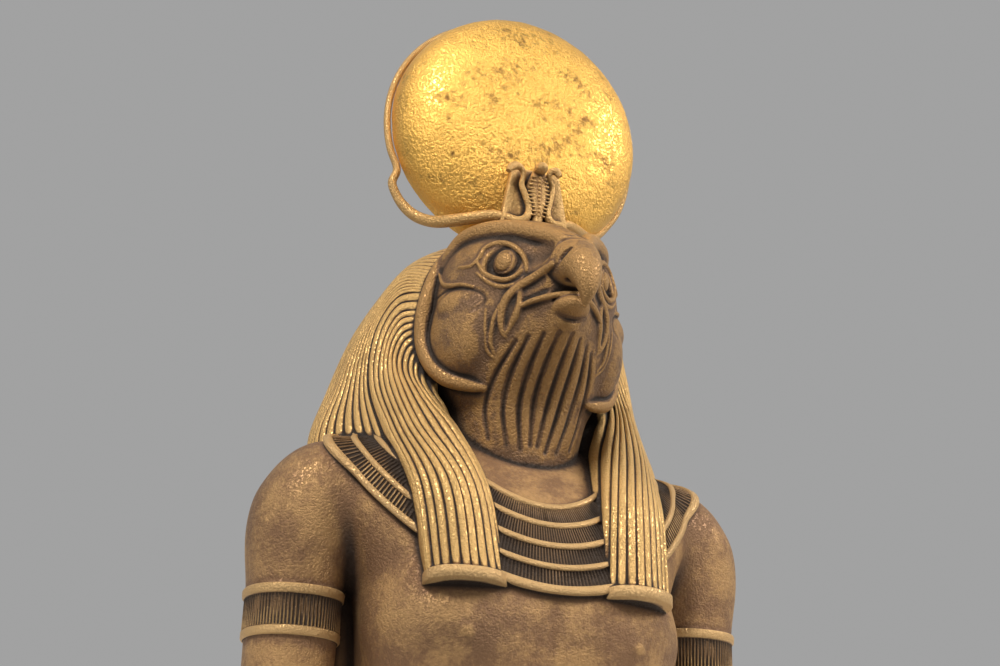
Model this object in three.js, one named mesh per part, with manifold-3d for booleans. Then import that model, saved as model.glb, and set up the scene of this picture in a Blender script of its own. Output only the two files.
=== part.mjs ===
// Bust of the falcon-headed sun god with his disc and cobras, life size, cut flat below the chest.
// Millimetres, +Z up. The figure faces -Y, and +X is the figure's own left.
// The origin is on the flat underside, between the two arms.

import * as THREE from "three";
import { mergeVertices } from "three/addons/utils/BufferGeometryUtils.js";
import Module from "manifold-3d";

const wasm = await Module();
wasm.setup();

// Driving dimensions of the body
const SHOULDER_HALF_WIDTH = 259;
const ARM_X = 209;
const ARM_BAND_TOP = 97;
const ARM_BAND_BOTTOM = 59;
const ARM_RING_HEIGHT = 9;
const ARM_RING_RELIEF = 3;
const RECESS_BACK_Y = 12;
const RECESS_WALL = 24;
const RECESS_TOP = 170;

// Driving dimensions of the broad collar, an oval seen from the front
const COLLAR_CENTRE_Z = 262;
const COLLAR_HALF_WIDTH = 201;
const COLLAR_HALF_HEIGHT = 174;
const COLLAR_ROWS = 4;
const COLLAR_ROW_PITCH = 23.5;
const COLLAR_BAND = 6.5;
const COLLAR_RELIEF = 5;
const COLLAR_BAND_RELIEF = 8;

// Driving dimensions of the head
const EYE = new THREE.Vector3(54, -122, 419);
const EYE_RADIUS = 17;
const BEAK_TIP = new THREE.Vector3(0, -193, 358);
const CAP_HEIGHT = 11;
const CAP_RELIEF = 2.5;

// Driving dimensions of the sun disc, its serpent ring and the cobras
const SUN_RADIUS = 143;
const SUN_Y = -5;
const SUN_Z = 638;
const SUN_FRONT_DEPTH = 60;
const SUN_BACK_DEPTH = 26;
const RING_RADIUS = 146.5;
const RING_Y = 15;
const SERPENT_RADIUS = 6.5;
const COBRA_HEIGHT = 60;
const COBRA_Y = -71;
const GAP = 0.4;

// How finely the forms are divided
const BODY_SIDES = 28;
const ARM_SIDES = 16;
const LOCK_SIDES = 14;
const HEAD_SIDES = 24;
const COLLAR_SIDES = 24;
const ROD_SIDES = 6;
const SUN_SIDES = 40;

// Cubic through rows of [position, value, value, ...], as one list of values at a position
function valuesAt(rows, position) {
  const last = rows.length - 2;
  let i = 0;
  while (i < last && position > rows[i + 1][0]) i += 1;
  const before = rows[Math.max(i - 1, 0)];
  const start = rows[i];
  const end = rows[i + 1];
  const after = rows[Math.min(i + 2, rows.length - 1)];
  const span = end[0] - start[0];
  const t = Math.min(Math.max((position - start[0]) / span, 0), 1);
  return start.slice(1).map((value, k) => {
    const slopeStart = ((end[k + 1] - before[k + 1]) / (end[0] - before[0])) * span;
    const slopeEnd = ((after[k + 1] - value) / (after[0] - start[0])) * span;
    const rise = end[k + 1] - value;
    const square = 3 * rise - 2 * slopeStart - slopeEnd;
    const cube = slopeStart + slopeEnd - 2 * rise;
    return value + t * (slopeStart + t * (square + t * cube));
  });
}

// Positions evenly spaced from the first row to the last
function positionsOf(rows, count) {
  const first = rows[0][0];
  const span = rows[rows.length - 1][0] - first;
  return Array.from({ length: count + 1 }, (_, i) => first + (span * i) / count);
}

// One point of a squared oval of half-width a and half-depth b
function ovalPoint(angle, a, b, power) {
  const across = Math.cos(angle);
  const along = Math.sin(angle);
  return [
    a * Math.sign(across) * Math.abs(across) ** (2 / power),
    b * Math.sign(along) * Math.abs(along) ** (2 / power),
  ];
}

// A ring of points round an oval in the plane of two directions
function ovalRing(centre, right, up, a, b, power, sides) {
  return Array.from({ length: sides }, (_, i) => {
    const [u, v] = ovalPoint((2 * Math.PI * i) / sides, a, b, power);
    return centre.clone().addScaledVector(right, u).addScaledVector(up, v);
  });
}

// A closed skin through rings that hold the same number of points
function loft(rings) {
  const sides = rings[0].length;
  const positions = [];
  const indices = [];
  for (const ring of rings) {
    for (const point of ring) positions.push(point.x, point.y, point.z);
  }
  for (let j = 0; j + 1 < rings.length; j += 1) {
    for (let i = 0; i < sides; i += 1) {
      const next = (i + 1) % sides;
      const low = j * sides;
      const high = low + sides;
      indices.push(low + i, low + next, high + next);
      indices.push(low + i, high + next, high + i);
    }
  }
  for (const end of [0, rings.length - 1]) {
    const middle = new THREE.Vector3();
    for (const point of rings[end]) middle.addScaledVector(point, 1 / sides);
    const hub = positions.length / 3;
    positions.push(middle.x, middle.y, middle.z);
    for (let i = 0; i < sides; i += 1) {
      const next = (i + 1) % sides;
      const edge = end * sides;
      if (end === 0) indices.push(hub, edge + next, edge + i);
      else indices.push(hub, edge + i, edge + next);
    }
  }
  const geometry = new THREE.BufferGeometry();
  geometry.setAttribute("position", new THREE.Float32BufferAttribute(positions, 3));
  geometry.setIndex(indices);
  return geometry;
}

// Six times the volume that a closed skin holds, negative where its faces point in
function signedVolume(vertices, triangles) {
  const corner = [new THREE.Vector3(), new THREE.Vector3(), new THREE.Vector3()];
  let total = 0;
  for (let i = 0; i < triangles.length; i += 3) {
    corner.forEach((point, k) => point.fromArray(vertices, 3 * triangles[i + k]));
    total += corner[0].dot(corner[1].cross(corner[2]));
  }
  return total;
}

// A solid for joining and cutting, made from any closed geometry
function solidOf(geometry) {
  const bare = geometry.clone();
  bare.deleteAttribute("normal");
  bare.deleteAttribute("uv");
  const merged = mergeVertices(bare, 1e-4);
  const vertProperties = new Float32Array(merged.attributes.position.array);
  const triVerts = new Uint32Array(merged.index.array);
  if (signedVolume(vertProperties, triVerts) < 0) {
    for (let i = 0; i < triVerts.length; i += 3) {
      [triVerts[i + 1], triVerts[i + 2]] = [triVerts[i + 2], triVerts[i + 1]];
    }
  }
  return new wasm.Manifold(new wasm.Mesh({ numProp: 3, vertProperties, triVerts }));
}

// The named mesh of a finished solid
function meshOf(name, solid, material) {
  const { vertProperties, triVerts } = solid.getMesh();
  const geometry = new THREE.BufferGeometry();
  geometry.setAttribute("position", new THREE.BufferAttribute(vertProperties, 3));
  geometry.setIndex(new THREE.BufferAttribute(triVerts, 1));
  geometry.computeVertexNormals();
  const mesh = new THREE.Mesh(geometry, material);
  mesh.name = name;
  return mesh;
}

// All solids of a list joined as one
function joined(solids) {
  return solids.reduce((whole, solid) => whole.add(solid));
}

// The outer skin alone, without the small pockets shut in between joined forms
function withoutPockets(solid) {
  return solid.decompose().reduce((largest, piece) => (
    piece.volume() > largest.volume() ? piece : largest
  ));
}

// A solid made on the figure's left together with its mirror image
function bothSides(geometry) {
  const mirrored = geometry.clone().applyMatrix4(new THREE.Matrix4().makeScale(-1, 1, 1));
  return solidOf(geometry).add(solidOf(mirrored));
}

// A form with level cuts, from rows of [z, x, half-width, front y, back y, squareness]
function uprightForm(rows, levels, sides, grow = 0) {
  const right = new THREE.Vector3(1, 0, 0);
  const back = new THREE.Vector3(0, 1, 0);
  return loft(positionsOf(rows, levels).map((z) => {
    const [x, halfWidth, front, rear, power] = valuesAt(rows, z);
    const centre = new THREE.Vector3(x, (front + rear) / 2, z);
    return ovalRing(centre, right, back, halfWidth + grow, (rear - front) / 2 + grow, power, sides);
  }));
}

// A form with upright cuts across, from rows of [y, half-width, top z, bottom z, squareness]
function forwardForm(rows, levels, sides) {
  const right = new THREE.Vector3(1, 0, 0);
  const up = new THREE.Vector3(0, 0, 1);
  return loft(positionsOf(rows, levels).map((y) => {
    const [halfWidth, top, bottom, power] = valuesAt(rows, y);
    const centre = new THREE.Vector3(0, y, (top + bottom) / 2);
    return ovalRing(centre, right, up, halfWidth, (top - bottom) / 2, power, sides);
  }));
}

// A form that follows a curve, flat side across, from rows of [place, half-width, half-depth]
function bendingForm(curve, rows, levels, sides, across) {
  return loft(positionsOf(rows, levels).map((place) => {
    const [halfWidth, halfDepth, power] = valuesAt(rows, place);
    const side = across.clone();
    const tangent = curve.getTangentAt(place);
    side.addScaledVector(tangent, -side.dot(tangent)).normalize();
    const out = new THREE.Vector3().crossVectors(tangent, side);
    return ovalRing(curve.getPointAt(place), side, out, halfWidth, halfDepth, power, sides);
  }));
}

function curveThrough(points, closed = false) {
  return new THREE.CatmullRomCurve3(points.map((p) => new THREE.Vector3(...p)), closed);
}

// A round rod along a curve
function rod(curve, radius, steps) {
  const circle = new THREE.Shape();
  circle.absarc(0, 0, radius, 0, 2 * Math.PI);
  return new THREE.ExtrudeGeometry(circle, {
    steps,
    curveSegments: ROD_SIDES / 2,
    extrudePath: curve,
    bevelEnabled: false,
  });
}

function ellipsoid(centre, radii, turn = [0, 0, 0], detail = 12) {
  const geometry = new THREE.SphereGeometry(1, 2 * detail, detail);
  geometry.scale(...radii);
  geometry.rotateX(turn[0]).rotateY(turn[1]).rotateZ(turn[2]);
  return geometry.translate(centre.x, centre.y, centre.z);
}

// Chest, back and the slope of the shoulders, leaning forward as it goes down
const TORSO_ROWS = [
  [0, 0, 144, -126, 90, 2.6],
  [45, 0, 146, -134, 93, 2.6],
  [90, 0, 152, -139, 96, 2.6],
  [140, 0, 170, -128, 98, 2.6],
  [185, 0, 196, -107, 96, 2.5],
  [215, 0, 205, -86, 86, 2.4],
  [240, 0, 188, -66, 70, 2.3],
  [258, 0, 148, -50, 54, 2.2],
  [272, 0, 92, -40, 40, 2.0],
];

// One arm from the cut to the round of the shoulder
const ARM_ROWS = [
  [0, ARM_X, 42, -44, 44, 2.2],
  [60, ARM_X, 43, -45, 45, 2.2],
  [100, ARM_X, 45, -47, 47, 2.2],
  [150, ARM_X - 2, SHOULDER_HALF_WIDTH - ARM_X + 2, -55, 54, 2.2],
  [185, 201, 54, -58, 56, 2.2],
  [210, 192, 51, -54, 52, 2.2],
  [230, 184, 43, -44, 42, 2.2],
  [243, 178, 30, -29, 28, 2.1],
  [250, 172, 10, -10, 10, 2.0],
];

// Neck and the sack of the throat below the head
const NECK_ROWS = [
  [170, 0, 62, -64, 40, 2.1],
  [215, 0, 68, -70, 50, 2.1],
  [250, 0, 68, -79, 50, 2.1],
  [290, 0, 73, -94, 50, 2.1],
  [325, 0, 84, -112, 50, 2.1],
  [365, 0, 88, -124, 50, 2.1],
];

// Skull from the nape forward to the root of the beak
const HEAD_ROWS = [
  [-162, 24, 445, 350, 2.1],
  [-148, 35, 454, 340, 2.1],
  [-128, 55, 469, 326, 2.2],
  [-105, 76, 484, 312, 2.2],
  [-80, 90, 495, 301, 2.2],
  [-50, 97, 503, 294, 2.2],
  [-20, 94, 502, 292, 2.2],
  [20, 70, 480, 310, 2.1],
];

// Crown and sides of the wig, from the shoulders up
const WIG_ROWS = [
  [196, 0, 150, -20, 100, 2.3],
  [240, 0, 201, -50, 106, 2.2],
  [300, 0, 194, -66, 114, 2.1],
  [372, 0, 168, -55, 112, 2.1],
  [436, 0, 133, -56, 96, 2.1],
  [478, 0, 92, -48, 72, 2.1],
  [500, 0, 56, -40, 44, 2.0],
  [510, 0, 18, -20, 14, 2.0],
];

// The panel of the wig that hangs down the back
const BACK_PANEL_ROWS = [
  [118, 0, 92, 40, 110, 3.0],
  [160, 0, 98, 40, 112, 3.0],
  [205, 0, 112, 20, 112, 2.6],
  [260, 0, 130, 0, 112, 2.3],
];

// One front lappet from its cap up to where it leaves the side of the wig
const LAPPET_ROWS = [
  [93, 85, 36, -150, -108, 2.4],
  [120, 87, 36.5, -150, -105, 2.4],
  [150, 90, 37, -146, -98, 2.4],
  [180, 94, 37, -139, -88, 2.4],
  [224, 107, 34, -124, -66, 2.3],
  [256, 119, 31, -106, -40, 2.2],
  [300, 125, 30, -76, -15, 2.2],
  [330, 124, 28, -50, 0, 2.2],
  [356, 116, 24, -20, 12, 2.2],
];

// The hatched rim of the face, from the temple round under the cheek
const FACE_RIM_PATH = curveThrough([
  [61, -36, 482],
  [91, -36, 450],
  [105, -33, 405],
  [107, -32, 365],
  [100, -42, 335],
  [87, -56, 317],
  [66, -76, 307],
]);

// The upper beak, hooked down to its tip
const BEAK_PATH = curveThrough([
  [0, -142, 412],
  [0, -165, 412],
  [0, -187, 402],
  [0, -199, 386],
  [0, -201, 371],
  BEAK_TIP.toArray(),
]);

const BEAK_ROWS = [
  [0, 32, 34, 2.2],
  [0.25, 25, 30, 2.2],
  [0.5, 18, 22, 2.2],
  [0.72, 13, 15, 2.1],
  [0.88, 8, 9, 2.0],
  [1, 2.5, 3, 2.0],
];

function bodyForm(grow) {
  const torso = solidOf(uprightForm(TORSO_ROWS, 10, BODY_SIDES, grow));
  return torso.add(bothSides(uprightForm(ARM_ROWS, 9, ARM_SIDES, grow)));
}

// The soft swell of the breast on each side
function breasts() {
  return bothSides(ellipsoid(new THREE.Vector3(66, -68, 66), [86, 74, 62], [0, 0, 0], 9));
}

// The wall that closes the space between arm and side at the back
function recessWalls() {
  const wall = new THREE.BoxGeometry(90, RECESS_WALL, RECESS_TOP);
  wall.translate(ARM_X - 55, RECESS_BACK_Y + RECESS_WALL / 2, RECESS_TOP / 2);
  return bothSides(wall);
}

// A level ring that stands out from an upright form
function ringOf(rows, low, height, sides, relief) {
  const ends = [low, low + height].map((z) => [z, ...valuesAt(rows, z)]);
  return uprightForm(ends, 1, sides, relief);
}

// Two plain rings round each arm with a slightly raised band between them
function armbands() {
  const bottom = ARM_BAND_BOTTOM - ARM_RING_HEIGHT;
  const top = ARM_BAND_TOP - ARM_RING_HEIGHT;
  return joined([
    bothSides(ringOf(ARM_ROWS, bottom, ARM_RING_HEIGHT, ARM_SIDES, ARM_RING_RELIEF)),
    bothSides(ringOf(ARM_ROWS, top, ARM_RING_HEIGHT, ARM_SIDES, ARM_RING_RELIEF)),
    bothSides(ringOf(ARM_ROWS, ARM_BAND_BOTTOM, top - ARM_BAND_BOTTOM, ARM_SIDES, 1)),
  ]);
}

// An oval tube from the front back to a given y, whose walls are the edges of a collar row
function collarRow(inset, width, rearY) {
  const oval = (shape, reach) => shape.absellipse(
    0, 0, COLLAR_HALF_WIDTH - reach, COLLAR_HALF_HEIGHT - reach, 0, 2 * Math.PI,
  );
  const outline = oval(new THREE.Shape(), inset);
  outline.holes.push(oval(new THREE.Path(), inset + width));
  const tube = new THREE.ExtrudeGeometry(outline, {
    depth: 200 + rearY,
    curveSegments: COLLAR_SIDES / 2,
    bevelEnabled: false,
  });
  tube.rotateX(Math.PI / 2).translate(0, rearY, COLLAR_CENTRE_Z);
  return solidOf(tube);
}

// The broad collar laid over the chest, with raised plain bands between its rows
function collar() {
  const depth = COLLAR_ROWS * COLLAR_ROW_PITCH + COLLAR_BAND;
  const ground = bodyForm(COLLAR_RELIEF).intersect(collarRow(0, depth, 150));
  const raised = bodyForm(COLLAR_BAND_RELIEF);
  const bands = Array.from({ length: COLLAR_ROWS + 1 }, (_, i) => (
    raised.intersect(collarRow(i * COLLAR_ROW_PITCH, COLLAR_BAND, 30))
  ));
  return joined([ground, ...bands]);
}

// Skull, throat, cheeks, brows and eyes
function head() {
  return joined([
    solidOf(forwardForm(HEAD_ROWS, 10, HEAD_SIDES)),
    solidOf(uprightForm(NECK_ROWS, 6, HEAD_SIDES)),
    bothSides(ellipsoid(EYE, [11, EYE_RADIUS, EYE_RADIUS], [0, 0, -0.55], 6)),
    bothSides(ellipsoid(new THREE.Vector3(57, -112, 450), [10, 46, 9], [-0.1, 0, -0.62], 6)),
    bothSides(ellipsoid(new THREE.Vector3(70, -68, 360), [30, 42, 44], [0, 0, -0.4], 6)),
    bothSides(ellipsoid(new THREE.Vector3(36, -126, 372), [9, 34, 9], [0.3, 0, -0.5], 6)),
  ]);
}

function beak() {
  const across = new THREE.Vector3(1, 0, 0);
  const upper = solidOf(bendingForm(BEAK_PATH, BEAK_ROWS, 10, 16, across));
  const lower = solidOf(ellipsoid(new THREE.Vector3(0, -152, 366), [23, 35, 15], [0.12, 0, 0], 8));
  return upper.add(lower);
}

function lappets() {
  const cap = ringOf(LAPPET_ROWS, LAPPET_ROWS[0][0], CAP_HEIGHT, LOCK_SIDES, CAP_RELIEF);
  return bothSides(uprightForm(LAPPET_ROWS, 10, LOCK_SIDES)).add(bothSides(cap));
}

function wig() {
  return joined([
    solidOf(uprightForm(WIG_ROWS, 12, BODY_SIDES)),
    solidOf(uprightForm(BACK_PANEL_ROWS, 5, BODY_SIDES)),
    lappets(),
    bothSides(rod(FACE_RIM_PATH, 8.5, 12)),
  ]);
}

// The domed disc, turned round an axis that points forward
function sunForm(grow) {
  const side = (depth, from, to, count) => Array.from({ length: count + 1 }, (_, i) => {
    const angle = from + ((to - from) * i) / count;
    const [radial, axial] = ovalPoint(angle, SUN_RADIUS + grow, depth + grow, 2.5);
    return new THREE.Vector2(Math.max(radial, 0), axial);
  });
  const front = side(SUN_FRONT_DEPTH, Math.PI / 2, 0, 7);
  const back = side(SUN_BACK_DEPTH, 0, -Math.PI / 2, 3);
  front[0].x = 0;
  back[back.length - 1].x = 0;
  const outline = [...front, ...back.slice(1)].reverse();
  const geometry = new THREE.LatheGeometry(outline, SUN_SIDES);
  geometry.rotateX(Math.PI).translate(0, SUN_Y, SUN_Z);
  return solidOf(geometry);
}

// The path of one serpent: round the disc, forward over the head, then up to its bent head
function serpentPath() {
  const start = 50;
  const arc = [186, 160, 132, 105, 78, start].map((degrees) => {
    const angle = THREE.MathUtils.degToRad(degrees);
    return [RING_RADIUS * Math.sin(angle), RING_Y, SUN_Z - RING_RADIUS * Math.cos(angle)];
  });
  return curveThrough([
    ...arc,
    [92, 0, 518],
    [72, -36, 507],
    [48, -58, 509],
    [31, -66, 508],
    [20, COBRA_Y, 506],
    [14, COBRA_Y, 516],
    [15, COBRA_Y, 536],
    [13, COBRA_Y, 550],
    [20, COBRA_Y - 2, 561],
    [30, COBRA_Y - 5, 557],
  ]);
}

// The middle cobra with its spread hood, its head bent forward
function middleCobra(grow) {
  const base = 496;
  const rows = [
    [base, 0, 5, COBRA_Y - 5, COBRA_Y + 6, 2.2],
    [base + 12, 0, 8, COBRA_Y - 4, COBRA_Y + 5, 2.4],
    [base + 30, 0, 12, COBRA_Y - 4, COBRA_Y + 5, 2.6],
    [base + 44, 0, 12, COBRA_Y - 5, COBRA_Y + 5, 2.6],
    [base + 54, 0, 9, COBRA_Y - 7, COBRA_Y + 4, 2.3],
    [base + COBRA_HEIGHT + 6, 0, 6, COBRA_Y - 8, COBRA_Y - 1, 2.0],
  ];
  const hood = solidOf(uprightForm(rows, 7, 12, grow));
  const headCentre = new THREE.Vector3(0, COBRA_Y - 10, base + COBRA_HEIGHT + 2);
  return hood.add(solidOf(ellipsoid(headCentre, [7 + grow, 11 + grow, 6 + grow], [0.3, 0, 0], 8)));
}

// The flat plate behind the cobras, narrower towards the top
function backPlate(grow) {
  const outline = new THREE.Shape();
  outline.moveTo(-36 - grow, 488);
  outline.lineTo(36 + grow, 488);
  outline.lineTo(26 + grow, 562 + grow);
  outline.lineTo(-26 - grow, 562 + grow);
  outline.closePath();
  const plate = new THREE.ExtrudeGeometry(outline, { depth: 10 + 2 * grow, bevelEnabled: false });
  plate.rotateX(Math.PI / 2).translate(0, COBRA_Y + 13 + grow, 0);
  return solidOf(plate);
}

function uraeusForm(grow) {
  const ends = new THREE.Vector3(30, COBRA_Y - 5, 557);
  return joined([
    bothSides(rod(serpentPath(), SERPENT_RADIUS + grow, 40)),
    bothSides(ellipsoid(ends, [6 + grow, 8 + grow, 5 + grow], [0, 0, 0], 6)),
    middleCobra(grow),
    backPlate(grow),
  ]);
}

const gilt = new THREE.MeshStandardMaterial({ color: 0x94693a, roughness: 0.5, metalness: 0.6 });
const gold = new THREE.MeshStandardMaterial({ color: 0xd8a545, roughness: 0.4, metalness: 0.9 });
const oldGold = new THREE.MeshStandardMaterial({ color: 0xb08347, roughness: 0.45, metalness: 0.8 });

const uraeus = uraeusForm(0).subtract(sunForm(GAP));
const body = joined([bodyForm(0), breasts(), recessWalls(), armbands(), collar()]);
const figure = withoutPockets(
  joined([body, head(), beak(), wig()]).subtract(uraeusForm(GAP)).subtract(sunForm(GAP)),
);

const statue = new THREE.Group();
statue.add(meshOf("figure", figure, gilt));
statue.add(meshOf("sun_disc", sunForm(0), gold));
statue.add(meshOf("uraeus_ring", uraeus, oldGold));

export default statue;
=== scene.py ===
"""Looks of the falcon-headed sun god's bust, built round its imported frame.

Sizes and places are in millimetres in the figure's own frame, +Z up and facing -Y, and become
metres when a mesh is made. The near half of a form is given on the figure's left, and mirrored.
"""
import logging
import math
from dataclasses import dataclass, field
from enum import Enum
from typing import Any, Sequence

import bpy
import numpy as np
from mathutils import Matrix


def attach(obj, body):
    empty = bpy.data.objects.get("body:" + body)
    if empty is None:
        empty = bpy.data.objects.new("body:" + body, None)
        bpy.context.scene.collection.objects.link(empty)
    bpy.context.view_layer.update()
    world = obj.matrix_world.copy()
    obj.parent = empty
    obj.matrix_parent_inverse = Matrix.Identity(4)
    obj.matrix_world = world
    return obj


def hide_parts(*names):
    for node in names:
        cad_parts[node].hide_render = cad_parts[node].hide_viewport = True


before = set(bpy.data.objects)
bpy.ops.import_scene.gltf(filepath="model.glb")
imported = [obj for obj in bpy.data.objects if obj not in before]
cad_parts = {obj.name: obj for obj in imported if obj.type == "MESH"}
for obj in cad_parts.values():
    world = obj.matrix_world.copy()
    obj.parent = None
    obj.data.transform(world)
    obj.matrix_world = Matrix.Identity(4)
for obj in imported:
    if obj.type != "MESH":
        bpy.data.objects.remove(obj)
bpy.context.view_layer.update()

import openvdb
from mathutils import Matrix, Vector
from mathutils.bvhtree import BVHTree

Array = np.ndarray
Point = tuple[float, float, float]
Rows = Sequence[Sequence[float]]
Settings = dict[Any, Any]

LOG = logging.getLogger("statue")
MM = 0.001
FAR = 1000.0


class Surface(Enum):
    """The finishes of the cast figure, in the order of its material slots."""

    FACE = 0
    SKIN = 1
    WIG = 2
    COLLAR = 3


# Curves and rows


def curve_weights(count: int, places: Array) -> Array:
    """Weights that turn control points into points of a smooth curve through them.

    Args:
        count: Number of control points.
        places: Places along the curve, from 0 to 1.

    Returns:
        A matrix with a row for each place and a column for each control point.
    """
    spans = count - 1
    scaled = np.clip(np.asarray(places, float) * spans, 0, spans)
    start = np.minimum(scaled.astype(int), spans - 1)
    t = scaled - start
    weights = np.zeros((len(scaled), count))
    basis = (
        -0.5 * t + t**2 - 0.5 * t**3,
        1 - 2.5 * t**2 + 1.5 * t**3,
        0.5 * t + 2 * t**2 - 1.5 * t**3,
        -0.5 * t**2 + 0.5 * t**3,
    )
    rows = np.arange(len(scaled))
    for shift, weight in enumerate(basis):
        column = start + shift - 1
        low, high = column < 0, column > spans
        inside = ~(low | high)
        weights[rows[inside], column[inside]] += weight[inside]
        weights[rows[low], 0] += 2 * weight[low]
        weights[rows[low], 1] -= weight[low]
        weights[rows[high], spans] += 2 * weight[high]
        weights[rows[high], spans - 1] -= weight[high]
    return weights


def smooth_path(points: Sequence[Sequence[float]], count: int) -> Array:
    """Evenly numbered points on a smooth curve through control points."""
    control = np.asarray(points, float)
    return curve_weights(len(control), np.linspace(0, 1, count)) @ control


def values_at(rows: Rows, places: Array) -> Array:
    """Cubic through rows of position and values.

    Args:
        rows: Rows of a position followed by its values, in rising order.
        places: Positions to work the values out at.

    Returns:
        One column for each value of a row.
    """
    table = np.asarray(rows, float)
    at, values = table[:, 0], table[:, 1:]
    slopes = np.empty_like(values)
    slopes[1:-1] = (values[2:] - values[:-2]) / (at[2:] - at[:-2])[:, None]
    slopes[0] = (values[1] - values[0]) / (at[1] - at[0])
    slopes[-1] = (values[-1] - values[-2]) / (at[-1] - at[-2])
    where = np.clip(np.searchsorted(at, places, side="right") - 1, 0, len(at) - 2)
    span = (at[where + 1] - at[where])[:, None]
    t = np.clip((np.asarray(places) - at[where])[:, None] / span, 0, 1)
    rise = values[where + 1] - values[where]
    first, last = slopes[where] * span, slopes[where + 1] * span
    return values[where] + t * (first + t * (3 * rise - 2 * first - last + t * (first + last - 2 * rise)))


# Solid forms as distances


@dataclass
class Ellipsoid:
    """A ball stretched to three radii and turned about Z, then tipped about X."""

    centre: Point
    radii: Point
    turn: float = 0.0
    tip: float = 0.0

    def box(self) -> tuple[Array, Array]:
        """Corners of a box that holds the form."""
        reach = np.full(3, max(self.radii))
        return np.array(self.centre) - reach, np.array(self.centre) + reach

    def distance(self, x: Array, y: Array, z: Array) -> Array:
        """Signed distance from the form, negative inside.

        Args:
            x: Places across.
            y: Places back.
            z: Places up.

        Returns:
            One distance for each place.
        """
        c, s = math.cos(math.radians(self.turn)), math.sin(math.radians(self.turn))
        dx, dy, dz = x - self.centre[0], y - self.centre[1], z - self.centre[2]
        u, v = dx * c + dy * s, dy * c - dx * s
        c, s = math.cos(math.radians(self.tip)), math.sin(math.radians(self.tip))
        v, w = v * c + dz * s, dz * c - v * s
        a, b, h = self.radii
        near = np.sqrt((u / a) ** 2 + (v / b) ** 2 + (w / h) ** 2)
        steep = np.sqrt((u / a**2) ** 2 + (v / b**2) ** 2 + (w / h**2) ** 2)
        return near * (near - 1) / np.maximum(steep, 1e-6)


@dataclass
class Stroke:
    """A round stroke through points, with a radius at each."""

    points: Sequence[Sequence[float]]
    radii: Sequence[float]
    steps: int = 5

    def line(self) -> Array:
        """Points of the stroke with their radii as a fourth column."""
        count = (len(self.points) - 1) * self.steps + 1
        return smooth_path(np.column_stack([self.points, self.radii]), count)

    def box(self) -> tuple[Array, Array]:
        """Corners of a box that holds the form."""
        line, reach = self.line(), max(self.radii)
        return line[:, :3].min(0) - reach, line[:, :3].max(0) + reach

    def distance(self, x: Array, y: Array, z: Array) -> Array:
        """Signed distance from the form, negative inside.

        Args:
            x: Places across.
            y: Places back.
            z: Places up.

        Returns:
            One distance for each place.
        """
        line = self.line()
        best = None
        for start, end in zip(line[:-1], line[1:]):
            along = end[:3] - start[:3]
            length = max(float(along @ along), 1e-9)
            dx, dy, dz = x - start[0], y - start[1], z - start[2]
            t = np.clip((dx * along[0] + dy * along[1] + dz * along[2]) / length, 0, 1)
            dx, dy, dz = dx - t * along[0], dy - t * along[1], dz - t * along[2]
            reach = start[3] + t * (end[3] - start[3])
            gap = np.sqrt(dx * dx + dy * dy + dz * dz) - reach
            best = gap if best is None else np.minimum(best, gap)
        return best


def drawn(rows: Rows) -> Stroke:
    """A stroke through rows of x, y, z and radius."""
    return Stroke([row[:3] for row in rows], [row[3] for row in rows])


@dataclass
class UprightForm:
    """A form of squared ovals in level cuts, from rows of z, x, half-width, front, back, power."""

    rows: Rows

    def box(self) -> tuple[Array, Array]:
        """Corners of a box that holds the form."""
        t = np.asarray(self.rows)
        low = (t[:, 1] - t[:, 2]).min(), t[:, 3].min(), t[0, 0]
        return np.array(low), np.array(((t[:, 1] + t[:, 2]).max(), t[:, 4].max(), t[-1, 0]))

    def distance(self, x: Array, y: Array, z: Array) -> Array:
        """Signed distance from the form, negative inside.

        Args:
            x: Places across.
            y: Places back.
            z: Places up.

        Returns:
            One distance for each place.
        """
        values = values_at(self.rows, z.ravel()).T.reshape(5, 1, 1, -1).astype(np.float32)
        centre, half, front, back, power = values
        depth = (back - front) / 2
        u = np.abs((x - centre) / half)
        v = np.abs((y - (front + back) / 2) / depth)
        near = (u**power + v**power) ** (1 / power)
        side = (near - 1) * np.minimum(half, depth)
        ends = np.maximum(self.rows[0][0] - z, z - self.rows[-1][0])
        return np.maximum(side, ends)


@dataclass
class ForwardForm:
    """A form of squared ovals in upright cuts, from rows of y, half-width, top, bottom, power."""

    rows: Rows

    def box(self) -> tuple[Array, Array]:
        """Corners of a box that holds the form."""
        t = np.asarray(self.rows)
        half = t[:, 1].max()
        return np.array((-half, t[0, 0], t[:, 3].min())), np.array((half, t[-1, 0], t[:, 2].max()))

    def distance(self, x: Array, y: Array, z: Array) -> Array:
        """Signed distance from the form, negative inside.

        Args:
            x: Places across.
            y: Places back.
            z: Places up.

        Returns:
            One distance for each place.
        """
        values = values_at(self.rows, y.ravel()).T.reshape(4, 1, -1, 1).astype(np.float32)
        half, top, bottom, power = values
        depth = (top - bottom) / 2
        u, v = np.abs(x / half), np.abs((z - (top + bottom) / 2) / depth)
        near = (u**power + v**power) ** (1 / power)
        side = (near - 1) * np.minimum(half, depth)
        ends = np.maximum(self.rows[0][0] - y, y - self.rows[-1][0])
        return np.maximum(side, ends)


@dataclass
class Block:
    """A plain box with soft edges."""

    low: Point
    high: Point

    def box(self) -> tuple[Array, Array]:
        """Corners of the box."""
        return np.array(self.low, float), np.array(self.high, float)

    def distance(self, x: Array, y: Array, z: Array) -> Array:
        """Signed distance from the form, negative inside.

        Args:
            x: Places across.
            y: Places back.
            z: Places up.

        Returns:
            One distance for each place.
        """
        gaps = [np.maximum(l - c, c - h) for l, h, c in zip(self.low, self.high, (x, y, z))]
        return np.maximum(np.maximum(gaps[0], gaps[1]), gaps[2])


Form = Ellipsoid | Stroke | UprightForm | ForwardForm | Block


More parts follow.
